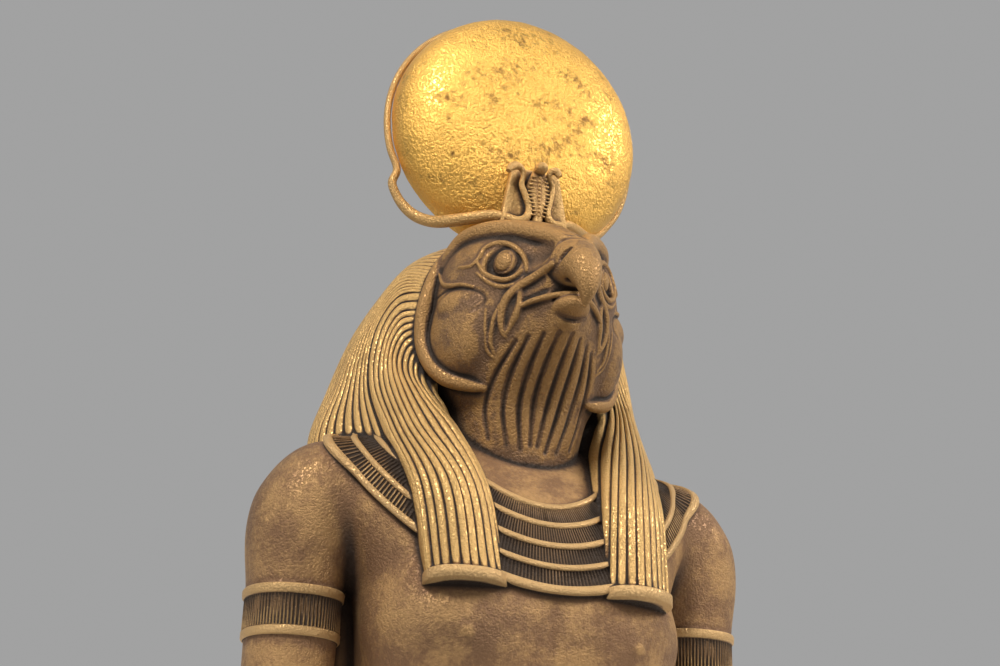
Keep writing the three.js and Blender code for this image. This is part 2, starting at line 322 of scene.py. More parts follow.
def between_cells(cells: Array, places: Array) -> Array:
    """Values of a grid at places between its cells.

    Args:
        cells: The grid's values.
        places: One row of cell counts along the three axes for each place.

    Returns:
        One value for each place.
    """
    base = places.astype(int)
    t = places - base
    total = np.zeros(len(places))
    for corner in np.ndindex(2, 2, 2):
        share = np.prod([t[:, k] if corner[k] else 1 - t[:, k] for k in range(3)], axis=0)
        index = base + corner
        total += share * cells[index[:, 0], index[:, 1], index[:, 2]]
    return total


@dataclass
class Clay:
    """Clay on a grid over the figure's left half, worked by adding and cutting forms."""

    low: Point
    high: Point
    voxel: float

    def __post_init__(self) -> None:
        """Lays out the empty grid."""
        self.axes = [
            np.arange(low, high + self.voxel, self.voxel, dtype=np.float32)
            for low, high in zip(self.low, self.high)
        ]
        self.gap = np.full([len(axis) for axis in self.axes], FAR, np.float32)

    def work(self, form: Form, soft: float, cut: bool = False) -> None:
        """Adds or cuts one form.

        Args:
            form: What is added or cut.
            soft: How far the edge between old and new is rounded.
            cut: True to take the form away.
        """
        low, high = form.box()
        reach = soft + 3 * self.voxel
        spans = [
            slice(*np.searchsorted(axis, (a - reach, b + reach)))
            for axis, a, b in zip(self.axes, low, high)
        ]
        if any(span.start >= span.stop for span in spans):
            return
        x, y, z = (axis[span] for axis, span in zip(self.axes, spans))
        new = form.distance(x[:, None, None], y[None, :, None], z[None, None, :])
        old = self.gap[spans[0], spans[1], spans[2]]
        side = -1.0 if cut else 1.0
        new, old = new.astype(np.float32), old * side
        share = np.clip(0.5 + 0.5 * (old - new) / max(soft, 1e-3), 0, 1)
        joined = old + (new - old) * share - soft * share * (1 - share)
        self.gap[spans[0], spans[1], spans[2]] = joined * side

    def add(self, form: Form, soft: float = 0.0) -> None:
        """Adds clay."""
        self.work(form, soft)

    def cut(self, form: Form, soft: float = 0.0) -> None:
        """Takes clay away."""
        self.work(form, soft, cut=True)

    def sample(self, points: Array) -> Array:
        """Distances at points, between the grid's own values.

        Args:
            points: One row for each point; the right half is read as the left.

        Returns:
            One distance for each point.
        """
        places = (np.abs(points * (1, 0, 0)) + points * (0, 1, 1) - self.low) / self.voxel
        last_cell = np.array(self.gap.shape) - 1.001
        return between_cells(self.gap, np.clip(places, 0, last_cell))

    def settle(self, points: Sequence[Point], lift: float = 0.0) -> Array:
        """Points moved straight onto the clay's skin, or a little above it.

        Args:
            points: Places near the skin.
            lift: How far above the skin they end.

        Returns:
            The places on the skin.
        """
        settled = np.array(points, float)
        for _ in range(12):
            gap = self.sample(settled) - lift
            slope = np.stack([
                self.sample(settled + step) - self.sample(settled - step)
                for step in np.eye(3) * self.voxel
            ], axis=1)
            slope /= np.maximum(np.linalg.norm(slope, axis=1, keepdims=True), 1e-6)
            settled -= 0.8 * gap[:, None] * slope
        return settled

    def skin(self) -> tuple[Array, Array]:
        """Points and four-sided faces of the clay's skin, both halves.

        Returns:
            Points in millimetres, and point numbers of each face.
        """
        whole = np.concatenate([self.gap[:0:-1], self.gap])
        whole[0] = whole[-1] = FAR
        whole[:, 0] = whole[:, -1] = FAR
        whole[:, :, 0] = whole[:, :, -1] = FAR
        limit = 3 * self.voxel
        grid = openvdb.FloatGrid(limit)
        grid.copyFromArray(np.ascontiguousarray(np.clip(whole, -limit, limit)))
        grid.transform = openvdb.createLinearTransform(self.voxel)
        points, faces = grid.convertToQuads(0.0)
        start = np.array((-self.axes[0][-1], self.low[1], self.low[2]))
        return points + start, faces


# Meshes


BOX_FACES = np.array([
    (0, 1, 3, 2), (4, 6, 7, 5), (0, 4, 5, 1), (2, 3, 7, 6), (0, 2, 6, 4), (1, 5, 7, 3),
])


def make_mesh(name: str, points: Array, faces: Array) -> bpy.types.Object:
    """A mesh object from millimetre points and faces of one size.

    Args:
        name: Name of the object.
        points: One row for each point.
        faces: One row of point numbers for each face.

    Returns:
        The new object, in the scene.
    """
    mesh = bpy.data.meshes.new(name)
    mesh.vertices.add(len(points))
    mesh.vertices.foreach_set("co", (np.asarray(points) * MM).astype(np.float32).ravel())
    mesh.loops.add(faces.size)
    mesh.loops.foreach_set("vertex_index", np.asarray(faces, np.int32).ravel())
    mesh.polygons.add(len(faces))
    mesh.polygons.foreach_set("loop_start", np.arange(0, faces.size, faces.shape[1], dtype=np.int32))
    mesh.update(calc_edges=True)
    piece = bpy.data.objects.new(name, mesh)
    bpy.context.scene.collection.objects.link(piece)
    return piece


def grid_faces(rows: int, columns: int, wrap_rows: bool = False, wrap_columns: bool = False) -> Array:
    """Four-sided faces over a sheet of points numbered row by row.

    Args:
        rows: Number of rows of points.
        columns: Number of points in a row.
        wrap_rows: True where the last row meets the first.
        wrap_columns: True where the last column meets the first.

    Returns:
        One row of four point numbers for each face.
    """
    down = np.arange(rows if wrap_rows else rows - 1)
    along = np.arange(columns if wrap_columns else columns - 1)
    i, j = (a.ravel() for a in np.meshgrid(down, along, indexing="ij"))
    i2, j2 = (i + 1) % rows, (j + 1) % columns
    return np.stack([i * columns + j, i * columns + j2, i2 * columns + j2, i2 * columns + j], axis=1)


def sheet_normals(sheet: Array) -> Array:
    """Unit normals of a sheet of points, rows by columns.

    Args:
        sheet: Rows by columns by coordinates.

    Returns:
        A unit vector for each point.
    """
    across = np.gradient(sheet, axis=1)
    along = np.gradient(sheet, axis=0)
    normal = np.cross(across, along)
    return normal / np.maximum(np.linalg.norm(normal, axis=2, keepdims=True), 1e-9)


def loft(rings: Array) -> tuple[Array, Array]:
    """A closed form through rings of points, its ends closed to their middles.

    Args:
        rings: Rings by points by coordinates.

    Returns:
        Points and three-sided faces.
    """
    count, sides, _ = rings.shape
    quads = grid_faces(count, sides, wrap_columns=True)
    faces = [quads[:, (0, 1, 2)], quads[:, (0, 2, 3)]]
    points = [rings.reshape(-1, 3), rings[0].mean(0)[None], rings[-1].mean(0)[None]]
    ring = np.arange(sides)
    after = (ring + 1) % sides
    last = (count - 1) * sides
    faces.append(np.stack([np.full(sides, count * sides), after, ring], axis=1))
    faces.append(np.stack([np.full(sides, count * sides + 1), last + ring, last + after], axis=1))
    return np.concatenate(points), np.concatenate(faces)


def closed_piece(name: str, points: Array, faces: Array) -> bpy.types.Object:
    """A mesh object from a closed surface, its faces turned outwards.

    Args:
        name: Name of the object.
        points: One row for each point.
        faces: One row of point numbers for each face.

    Returns:
        The new object.
    """
    corners = points[faces[:, :3]]
    volume = np.einsum("ij,ij->i", corners[:, 0], np.cross(corners[:, 1], corners[:, 2])).sum()
    if faces.shape[1] == 4:
        corners = points[faces[:, (0, 2, 3)]]
        volume += np.einsum("ij,ij->i", corners[:, 0], np.cross(corners[:, 1], corners[:, 2])).sum()
    return make_mesh(name, points, faces if volume > 0 else faces[:, ::-1])


def oval(half: float, depth: float, power: float, sides: int) -> Array:
    """Points round a squared oval, as across and along.

    Args:
        half: Half the width.
        depth: Half the depth.
        power: How square it is; 2 is an ellipse.
        sides: Number of points.

    Returns:
        One row for each point.
    """
    angle = np.linspace(0, 2 * np.pi, sides, endpoint=False)
    c, s = np.cos(angle), np.sin(angle)
    across = half * np.sign(c) * np.abs(c) ** (2 / power)
    return np.stack([across, depth * np.sign(s) * np.abs(s) ** (2 / power)], axis=1)


def upright_rings(rows: Rows, levels: Array, lifts: Array, sides: int) -> Array:
    """Level rings of an upright form, each standing out by its own lift.

    Args:
        rows: Rows of an upright form.
        levels: Height of each ring.
        lifts: How far each ring stands out.
        sides: Number of points of a ring.

    Returns:
        Rings by points by coordinates.
    """
    rings = []
    for level, lift in zip(levels, lifts):
        x, half, front, back, power = values_at(rows, np.array([level]))[0]
        flat = oval(half + lift, (back - front) / 2 + lift, power, sides)
        centre = np.array((x, (front + back) / 2, level))
        rings.append(centre + np.column_stack([flat, np.zeros(sides)]))
    return np.array(rings)


def applied(piece: bpy.types.Object) -> bpy.types.Object:
    """Turns the result of a piece's modifiers into its plain mesh.

    Args:
        piece: A piece with its modifiers.

    Returns:
        The piece, without modifiers.
    """
    evaluated = piece.evaluated_get(bpy.context.evaluated_depsgraph_get())
    mesh = bpy.data.meshes.new_from_object(evaluated)
    old = piece.data
    piece.modifiers.clear()
    piece.data = mesh
    bpy.data.meshes.remove(old)
    return piece


def dropped(piece: bpy.types.Object) -> None:
    """Removes a piece that has done its work."""
    mesh = piece.data
    bpy.data.objects.remove(piece)
    bpy.data.meshes.remove(mesh)


def combined(piece: bpy.types.Object, tool: bpy.types.Object, operation: str) -> bpy.types.Object:
    """Joins a closed tool to a closed piece, or cuts it away, and removes the tool.

    Args:
        piece: The piece that stays.
        tool: The piece that is joined to it or cut from it.
        operation: The modifier's own word for it.

    Returns:
        The piece.
    """
    modifier = piece.modifiers.new("joint", "BOOLEAN")
    modifier.operation = operation
    modifier.solver = "MANIFOLD"
    modifier.object = tool
    applied(piece)
    dropped(tool)
    return piece


def thinned(piece: bpy.types.Object, share: float) -> bpy.types.Object:
    """Keeps a share of the faces, most where the surface bends.

    Args:
        piece: The piece.
        share: The share that is kept.

    Returns:
        The piece.
    """
    modifier = piece.modifiers.new("thin", "DECIMATE")
    modifier.ratio = share
    modifier.use_symmetry = False
    return applied(piece)


def points_of(piece: bpy.types.Object) -> Array:
    """A piece's points, in millimetres."""
    points = np.empty(3 * len(piece.data.vertices), np.float32)
    piece.data.vertices.foreach_get("co", points)
    return points.reshape(-1, 3).astype(float) / MM


def set_values(piece: bpy.types.Object, name: str, values: Array) -> None:
    """Stores one number or one vector for each point of a piece.

    Args:
        piece: The piece.
        name: Name of the attribute.
        values: One number, or one row of three, for each point.
    """
    vector = values.ndim == 2
    attribute = piece.data.attributes.new(name, "FLOAT_VECTOR" if vector else "FLOAT", "POINT")
    attribute.data.foreach_set("vector" if vector else "value", values.astype(np.float32).ravel())


def softened(values: Array, steps: int) -> Array:
    """Each value of a grid as the mean of those round it.

    Args:
        values: The grid.
        steps: How many cells each way are taken in.

    Returns:
        The new grid.
    """
    for axis in range(3):
        for _ in range(2):
            pad = [(0, 0)] * 3
            pad[axis] = (steps + 1, steps)
            total = np.cumsum(np.pad(values, pad, mode="edge"), axis=axis, dtype=np.float64)
            count = values.shape[axis]
            wide = 2 * steps + 1
            ahead = np.take(total, range(wide, wide + count), axis=axis)
            behind = np.take(total, range(count), axis=axis)
            values = ((ahead - behind) / wide).astype(np.float32)
    return values


def mark_hollows(piece: bpy.types.Object, name: str, voxel: float, steps: int) -> None:
    """Stores how deep in a hollow each point lies, in millimetres, and below nothing on a crest.

    Args:
        piece: The finished piece.
        name: Name of the attribute.
        voxel: Cell size that the piece is measured with.
        steps: How many cells each way are looked at.
    """
    points = points_of(piece)
    piece.data.calc_loop_triangles()
    corners = np.empty(3 * len(piece.data.loop_triangles), np.int32)
    piece.data.loop_triangles.foreach_get("vertices", corners)
    grid = openvdb.FloatGrid.createLevelSetFromPolygons(
        points,
        triangles=corners.reshape(-1, 3),
        transform=openvdb.createLinearTransform(voxel),
        halfWidth=4,
    )
    low = np.floor(points.min(0) / voxel).astype(int) - steps - 5
    high = np.ceil(points.max(0) / voxel).astype(int) + steps + 5
    cells = np.zeros(high - low, np.float32)
    grid.copyToArray(cells, ijk=tuple(int(n) for n in low))
    set_values(piece, name, -between_cells(softened(cells, steps), points / voxel - low))


# Node trees


@dataclass(frozen=True)
class Wire:
    """A node's output that can be reckoned with like a number, vector or colour."""

    book: "NodeBook"
    socket: bpy.types.NodeSocket

    def joined(self, operation: str, other: Any, flipped: bool = False) -> "Wire":
        """Adds the node for one sum of this wire with another wire or a plain value.

        Args:
            operation: Add, subtract, multiply or divide, in the node's own words.
            other: The other side of the sum.
            flipped: True where the other side comes first.

        Returns:
            The wire of the result.
        """
        first, second = (other, self) if flipped else (self, other)
        if self.socket.type == "VECTOR":
            if isinstance(other, (int, float)):
                plain = (other,) * 3
                first, second = (plain, self) if flipped else (self, plain)
            return self.book.wire("ShaderNodeVectorMath", {"operation": operation}, {0: first, 1: second})
        if self.socket.type == "RGBA":
            settings = {"data_type": "RGBA", "blend_type": operation, "clamp_result": False}
            return self.book.wire("ShaderNodeMix", settings, {0: 1.0, 6: first, 7: second}, 2)
        return self.book.wire("ShaderNodeMath", {"operation": operation}, {0: first, 1: second})

    def __add__(self, other: Any) -> "Wire":
        """This wire plus another."""
        return self.joined("ADD", other)

    def __radd__(self, other: Any) -> "Wire":
        """A plain value plus this wire."""
        return self.joined("ADD", other, flipped=True)

    def __sub__(self, other: Any) -> "Wire":
        """This wire less another."""
        return self.joined("SUBTRACT", other)

    def __rsub__(self, other: Any) -> "Wire":
        """A plain value less this wire."""
        return self.joined("SUBTRACT", other, flipped=True)

    def __mul__(self, other: Any) -> "Wire":
        """This wire times another."""
        return self.joined("MULTIPLY", other)

    def __rmul__(self, other: Any) -> "Wire":
        """A plain value times this wire."""
        return self.joined("MULTIPLY", other, flipped=True)

    def __truediv__(self, other: Any) -> "Wire":
        """This wire over another."""
        return self.joined("DIVIDE", other)

    def __rtruediv__(self, other: Any) -> "Wire":
        """A plain value over this wire."""
        return self.joined("DIVIDE", other, flipped=True)

    def math(self, operation: str, other: Any = 0.0) -> "Wire":
        """Any other sum of a Math node."""
        return self.book.wire("ShaderNodeMath", {"operation": operation}, {0: self, 1: other})

    def ramp(self, low: float, high: float) -> "Wire":
        """Nothing below one value and one above another, with a soft way between."""
        settings = {"interpolation_type": "SMOOTHSTEP"}
        return self.book.wire("ShaderNodeMapRange", settings, {0: self, 1: low, 2: high, 3: 0.0, 4: 1.0})

    def scaled(self, factor: Any) -> "Wire":
        """This vector made longer."""
        return self.book.wire("ShaderNodeVectorMath", {"operation": "SCALE"}, {0: self, "Scale": factor})


@dataclass
class NodeBook:
    """A node tree that is written step by step."""

    tree: bpy.types.NodeTree

    def node(
        self, kind: str, settings: Settings | None = None, sockets: Settings | None = None
    ) -> bpy.types.Node:
        """Adds a node.

        Args:
            kind: The node's type.
            settings: Its properties, set first.
            sockets: Values or wires of its inputs, by name or number.

        Returns:
            The new node.
        """
        node = self.tree.nodes.new(kind)
        for key, value in (settings or {}).items():
            setattr(node, key, value)
        for key, value in (sockets or {}).items():
            socket = node.inputs[key]
            if isinstance(value, Wire):
                self.tree.links.new(value.socket, socket)
            else:
                socket.default_value = value
        return node

    def wire(
        self,
        kind: str,
        settings: Settings | None = None,
        sockets: Settings | None = None,
        output: int | str = 0,
    ) -> Wire:
        """Adds a node and gives one of its outputs."""
        return Wire(self, self.node(kind, settings, sockets).outputs[output])


class Workshop(NodeBook):
    """A geometry node tree with named inputs, run on one piece at a time."""

    def __init__(self, name: str, inputs: dict[str, tuple[str, Any]]) -> None:
        """Makes the tree with its inputs and its output.

        Args:
            name: Name of the tree.
            inputs: Kind and standard value of each input, by label.
        """
        super().__init__(bpy.data.node_groups.new(name, "GeometryNodeTree"))
        face = self.tree.interface
        face.new_socket("Geometry", in_out="OUTPUT", socket_type="NodeSocketGeometry")
        face.new_socket("Geometry", in_out="INPUT", socket_type="NodeSocketGeometry")
        self.identifiers: dict[str, str] = {}
        for label, (kind, value) in (inputs | {"Material": ("NodeSocketMaterial", None)}).items():
            socket = face.new_socket(label, in_out="INPUT", socket_type=kind)
            if value is not None:
                socket.default_value = value
            self.identifiers[label] = socket.identifier
        self.start = self.tree.nodes.new("NodeGroupInput")
        self.end = self.tree.nodes.new("NodeGroupOutput")

    def given(self, label: str) -> Wire:
        """The wire of a named input."""
        return Wire(self, self.start.outputs[label])

    def attribute(self, name: str, kind: str = "FLOAT") -> Wire:
        """The values of a named attribute."""
        settings = {"data_type": kind}
        return self.wire("GeometryNodeInputNamedAttribute", settings, {"Name": name}, "Attribute")

    def finish(self, geometry: Wire) -> None:
        """Ends the tree with real geometry in the given material.

        Args:
            geometry: What the tree has made.
        """
        real = self.wire("GeometryNodeRealizeInstances", sockets={"Geometry": geometry})
        dressed = self.wire("GeometryNodeSetMaterial", sockets={
            "Geometry": real,
            "Material": self.given("Material"),
        })
        self.tree.links.new(dressed.socket, self.end.inputs[0])

    def run(
        self, piece: bpy.types.Object, material: bpy.types.Material, values: Settings
    ) -> bpy.types.Object:
        """Runs the tree on a piece and keeps the result as its mesh.

        Args:
            piece: The piece that is worked on.
            material: Finish of the result.
            values: Values of the other inputs, by label.

        Returns:
            The piece.
        """
        modifier = piece.modifiers.new(self.tree.name, "NODES")
        modifier.node_group = self.tree
        for label, value in (values | {"Material": material}).items():
            modifier[self.identifiers[label]] = value
        return applied(piece)


def laying_tree() -> Workshop:
    """Lays one small piece at every point, turned by the attributes lie and out.

    Returns:
        The tree.
    """
    tree = Workshop("lay_pieces", {
        "Piece": ("NodeSocketObject", None),
        "Width": ("NodeSocketFloat", 1.0),
    })
    turn = tree.wire("FunctionNodeAxesToRotation", {"primary_axis": "X", "secondary_axis": "Z"}, {
        0: tree.attribute("lie", "FLOAT_VECTOR"),
        1: tree.attribute("out", "FLOAT_VECTOR"),
    })
    size = tree.wire("ShaderNodeCombineXYZ", sockets={
        0: tree.attribute("reach"),
        1: tree.given("Width"),
        2: tree.given("Width"),
    })
    piece = tree.wire("GeometryNodeObjectInfo", sockets={"Object": tree.given("Piece")}, output="Geometry")
    laid = tree.wire("GeometryNodeInstanceOnPoints", sockets={
        "Points": tree.given("Geometry"),
        "Instance": piece,
        "Rotation": turn,
        "Scale": size,
    })
    tree.finish(laid)
    return tree


def rod_tree() -> Workshop:
    """Turns a line of points into a round rod, with the attribute girth as its radius.

    Returns:
        The tree.
    """
    tree = Workshop("rod_on_line", {"Sides": ("NodeSocketInt", 12)})
    profile = tree.wire("GeometryNodeCurvePrimitiveCircle", sockets={
        "Resolution": tree.given("Sides"),
        "Radius": 1.0,
    })
    rod = tree.wire("GeometryNodeCurveToMesh", sockets={
        "Curve": tree.wire("GeometryNodeMeshToCurve", sockets={"Mesh": tree.given("Geometry")}),
        "Profile Curve": profile,
        "Scale": tree.attribute("girth"),
        "Fill Caps": True,
    })
    tree.finish(rod)
    return tree


def combing_tree() -> Workshop:
    """Raises round strands on a sheet that carries the attributes strand, relief and out.

    Returns:
        The tree.
    """
    tree = Workshop("comb_strands", {"Roundness": ("NodeSocketFloat", 0.97)})
    side = (tree.attribute("strand").math("FRACT") * 2.0 - 1.0) * tree.given("Roundness")
    height = (1.0 - side * side).math("SQRT")
    lift = (height - 1.0) * tree.attribute("relief")
    combed = tree.wire("GeometryNodeSetPosition", sockets={
        "Geometry": tree.given("Geometry"),
        "Offset": tree.attribute("out", "FLOAT_VECTOR").scaled(lift),
    })
    tree.finish(combed)
    return tree


def hammering_tree() -> Workshop:
    """Beats a surface in and out by two sizes of soft noise.

    Returns:
        The tree.
    """
    tree = Workshop("hammer_surface", {
        "Dent size": ("NodeSocketFloat", 0.02),
        "Dent depth": ("NodeSocketFloat", 0.001),
        "Grain size": ("NodeSocketFloat", 0.004),
        "Grain depth": ("NodeSocketFloat", 0.0003),
        "Seed": ("NodeSocketFloat", 3.0),
    })

    def beats(size: str, depth: str) -> Wire:
        """Soft noise of one size and depth, above and below zero.

        Args:
            size: Label of the input that holds the size.
            depth: Label of the input that holds the depth.

        Returns:
            The wire of the noise.
        """
        noise = tree.wire("ShaderNodeTexNoise", {"noise_dimensions": "4D"}, {
            "W": tree.given("Seed"),
            "Scale": 1.0 / tree.given(size),
            "Detail": 2.0,
        })
        return (noise - 0.5) * tree.given(depth) * 2.0

    normal = tree.wire("GeometryNodeInputNormal")
    beaten = tree.wire("GeometryNodeSetPosition", sockets={
        "Geometry": tree.given("Geometry"),
        "Offset": normal.scaled(beats("Dent size", "Dent depth") + beats("Grain size", "Grain depth")),
    })
    tree.finish(beaten)
    return tree


# Finishes


Colour = tuple[float, float, float]


@dataclass(frozen=True)
class MetalFinish:
    """Worn gilding over patinated bronze, from its crests down to its hollows, which are darkened towards
    a near-black colour as grime and painted shade.
    """

    name: str
    gold: Colour
    bronze: Colour
    grime_and_shade: Colour
    gilt_share: float
    crest: float
    groove: float
    recess_depth: float = 9.0
    roughness: float = 0.5
    metallic: float = 0.75
    blotch_size: float = 0.03
    pit_size: float = 0.0022
    pit_depth: float = 0.0006
    speckle: float = 0.35

    def material(self) -> bpy.types.Material:
        """Builds the finish as a material.

        Returns:
            A procedural material that reads Object coordinates and the piece's hollow attribute.
        """
        material = bpy.data.materials.new(self.name)
        material.use_nodes = True
        book = NodeBook(material.node_tree)
        material.node_tree.nodes.clear()
        place = book.wire("ShaderNodeTexCoord", output="Object")

        def noise(size: float, detail: float = 4.0, rough: float = 0.6) -> Wire:
            """Soft noise with lumps of one size."""
            sockets = {"Vector": place, "Scale": 1.0 / size, "Detail": detail, "Roughness": rough}
            return book.wire("ShaderNodeTexNoise", sockets=sockets)

        hollow = book.wire("ShaderNodeAttribute", {"attribute_name": "hollow"}, output="Fac")
        recess = book.wire("ShaderNodeAttribute", {"attribute_name": "recess"}, output="Fac")
        blotches = noise(self.blotch_size)
        speckles = noise(self.pit_size * 2.2, 3.0)
        pits = noise(self.pit_size)
        worn = (blotches - 0.5) * 1.6 + (speckles - 0.5) * self.speckle * 2.0 - hollow / self.crest * 0.5
        gilt = (worn + (self.gilt_share - 0.5)).ramp(-0.28, 0.28)
        depth = hollow / self.groove + recess / self.recess_depth
        # Painted shade with grime: the deeper a point lies in a hollow or recess, the more it turns to the
        # near-black third colour, less metallic and rougher.
        grime_and_shade_mask = (depth + (blotches - 0.5) * 0.5 + (speckles - 0.5) * 0.3).ramp(0.15, 1.0)
        mix = {"data_type": "RGBA", "blend_type": "MIX"}
        metal = book.wire("ShaderNodeMix", mix, {0: gilt, 6: (*self.bronze, 1), 7: (*self.gold, 1)}, 2)
        shade = book.wire("ShaderNodeMix", mix, {0: grime_and_shade_mask, 6: metal, 7: (*self.grime_and_shade, 1)}, 2)
        bump = book.wire("ShaderNodeBump", sockets={
            "Strength": 1.0,
            "Distance": self.pit_depth,
            "Height": pits.ramp(0.32, 0.6) + noise(self.pit_size * 5, 3.0) * 1.2,
        })
        shader = book.wire("ShaderNodeBsdfPrincipled", sockets={
            "Base Color": shade,
            "Metallic": self.metallic * (1.0 - grime_and_shade_mask * 0.8),
            "Roughness": self.roughness + grime_and_shade_mask * 0.2 + (0.5 - speckles) * 0.25,
            "Normal": bump,
        })
        book.node("ShaderNodeOutputMaterial", sockets={"Surface": shader})
        return material


@dataclass(frozen=True)
class PlainFinish:
    """A plain matt finish for the floor."""

    name: str
    colour: Colour
    roughness: float = 0.85

    def material(self) -> bpy.types.Material:
        """Builds the finish as a material.

        Returns:
            The material.
        """
        material = bpy.data.materials.new(self.name)
        material.use_nodes = True
        book = NodeBook(material.node_tree)
        material.node_tree.nodes.clear()
        shader = book.wire("ShaderNodeBsdfPrincipled", sockets={
            "Base Color": (*self.colour, 1),
            "Roughness": self.roughness,
        })
        book.node("ShaderNodeOutputMaterial", sockets={"Surface": shader})
        return material


# The third colour of each finish is the near-black of grime and painted shade in its hollows and recesses.
FACE_BRONZE = MetalFinish(
    "brown face bronze", (0.42, 0.24, 0.09), (0.20, 0.115, 0.062), (0.030, 0.016, 0.008),
    gilt_share=0.38, crest=0.5, groove=1.1, roughness=0.46, metallic=0.62,
)
SKIN_BRONZE = MetalFinish(
    "tan skin bronze", (0.50, 0.30, 0.13), (0.26, 0.145, 0.075), (0.04, 0.02, 0.01),
    gilt_share=0.42, crest=1.0, groove=2.2, roughness=0.5, metallic=0.6, blotch_size=0.045,
)
WIG_GILT = MetalFinish(
    "gilt wig strands", (0.72, 0.46, 0.18), (0.26, 0.14, 0.06), (0.018, 0.009, 0.004),
    gilt_share=0.72, crest=0.5, groove=0.9, roughness=0.4, metallic=0.75,
)
COLLAR_GILT = MetalFinish(
    "tan gilt collar", (0.62, 0.40, 0.18), (0.30, 0.18, 0.09), (0.035, 0.018, 0.008),
    gilt_share=0.6, crest=0.4, groove=0.6, roughness=0.45, metallic=0.65,
)
DISC_GOLD = MetalFinish(
    "hammered disc gold", (0.90, 0.52, 0.12), (0.24, 0.125, 0.035), (0.05, 0.024, 0.008),
    gilt_share=0.72, crest=0.35, groove=1.2, roughness=0.36, metallic=0.9, blotch_size=0.035,
    pit_size=0.003,
)
RING_GOLD = MetalFinish(
    "old ring gold", (0.58, 0.36, 0.14), (0.30, 0.17, 0.07), (0.03, 0.015, 0.006),
    gilt_share=0.6, crest=0.4, groove=0.9, roughness=0.42, metallic=0.72,
)
FLOOR_PAINT = PlainFinish("pale floor", (0.72, 0.71, 0.69))


@dataclass
class Wardrobe:
    """The materials of the figure, shared by all its parts in one order."""

    materials: list[bpy.types.Material] = field(default_factory=list)

    def __post_init__(self) -> None:
        """Makes the materials in the order of the surfaces."""
        finishes = {
            Surface.FACE: FACE_BRONZE,
            Surface.SKIN: SKIN_BRONZE,
            Surface.WIG: WIG_GILT,
            Surface.COLLAR: COLLAR_GILT,
        }
        self.materials = [finishes[surface].material() for surface in Surface]

    def dress(self, piece: bpy.types.Object, surface: Surface) -> bpy.types.Object:
        """Gives every face of a part of the figure one of the finishes.

        Args:
            piece: The part.
            surface: Its finish.

        Returns:
            The part.
        """
        piece.data.materials.clear()
        for material in self.materials:
            piece.data.materials.append(material)
        count = len(piece.data.polygons)
        piece.data.polygons.foreach_set("material_index", np.full(count, surface.value, np.int32))
        return piece


# The figure


FLOOR_OVERLAP = -12.0


def below_floor(rows: Rows) -> list[Sequence[float]]:
    """Rows that go on a little below the flat cut."""
    return [(FLOOR_OVERLAP, *rows[0][1:]), *rows]


@dataclass
class Body:
    """Chest, shoulders and upper arms."""

    voxel: float = 3.6
    kept: float = 0.62
    torso: Rows = (
        (0, 0, 144, -126, 90, 2.6), (45, 0, 146, -134, 93, 2.6), (90, 0, 152, -139, 96, 2.6),
        (140, 0, 170, -128, 98, 2.6), (185, 0, 196, -107, 96, 2.5), (215, 0, 205, -86, 86, 2.4),
        (240, 0, 188, -66, 70, 2.3), (258, 0, 148, -50, 54, 2.2), (272, 0, 92, -40, 40, 2.0),
    )
    arm: Rows = (
        (0, 209, 42, -44, 44, 2.2), (60, 209, 43, -45, 45, 2.2), (100, 209, 45, -47, 47, 2.2),
        (150, 207, 52, -55, 54, 2.2), (185, 201, 54, -58, 56, 2.2), (210, 192, 51, -54, 52, 2.2),
        (230, 184, 43, -44, 42, 2.2), (243, 178, 30, -29, 28, 2.1), (250, 172, 10, -10, 10, 2.0),
    )
    breast: Ellipsoid = field(default_factory=lambda: Ellipsoid((66, -68, 66), (86, 74, 62)))
    nipple: Ellipsoid = field(default_factory=lambda: Ellipsoid((84, -138, 52), (6, 5, 5)))
    recess_wall: Block = field(default_factory=lambda: Block((109, 12, FLOOR_OVERLAP), (199, 36, 160)))

    def shape(self) -> Clay:
        """Models the body in clay.

        Returns:
            The clay.
        """
        clay = Clay((0, -176, FLOOR_OVERLAP - 8), (274, 128, 292), self.voxel)
        clay.add(UprightForm(below_floor(self.torso)))
        clay.add(self.breast, 26)
        clay.add(self.nipple, 4)
        clay.add(UprightForm(below_floor(self.arm)), 13)
        clay.add(self.recess_wall, 6)
        return clay

    def build(self, wardrobe: Wardrobe) -> bpy.types.Object:
        """Makes the body.

        Args:
            wardrobe: The figure's materials.

        Returns:
            The body.
        """
        points, faces = self.shape().skin()
        body = thinned(make_mesh("body", points, faces), self.kept)
        return wardrobe.dress(body, Surface.SKIN)


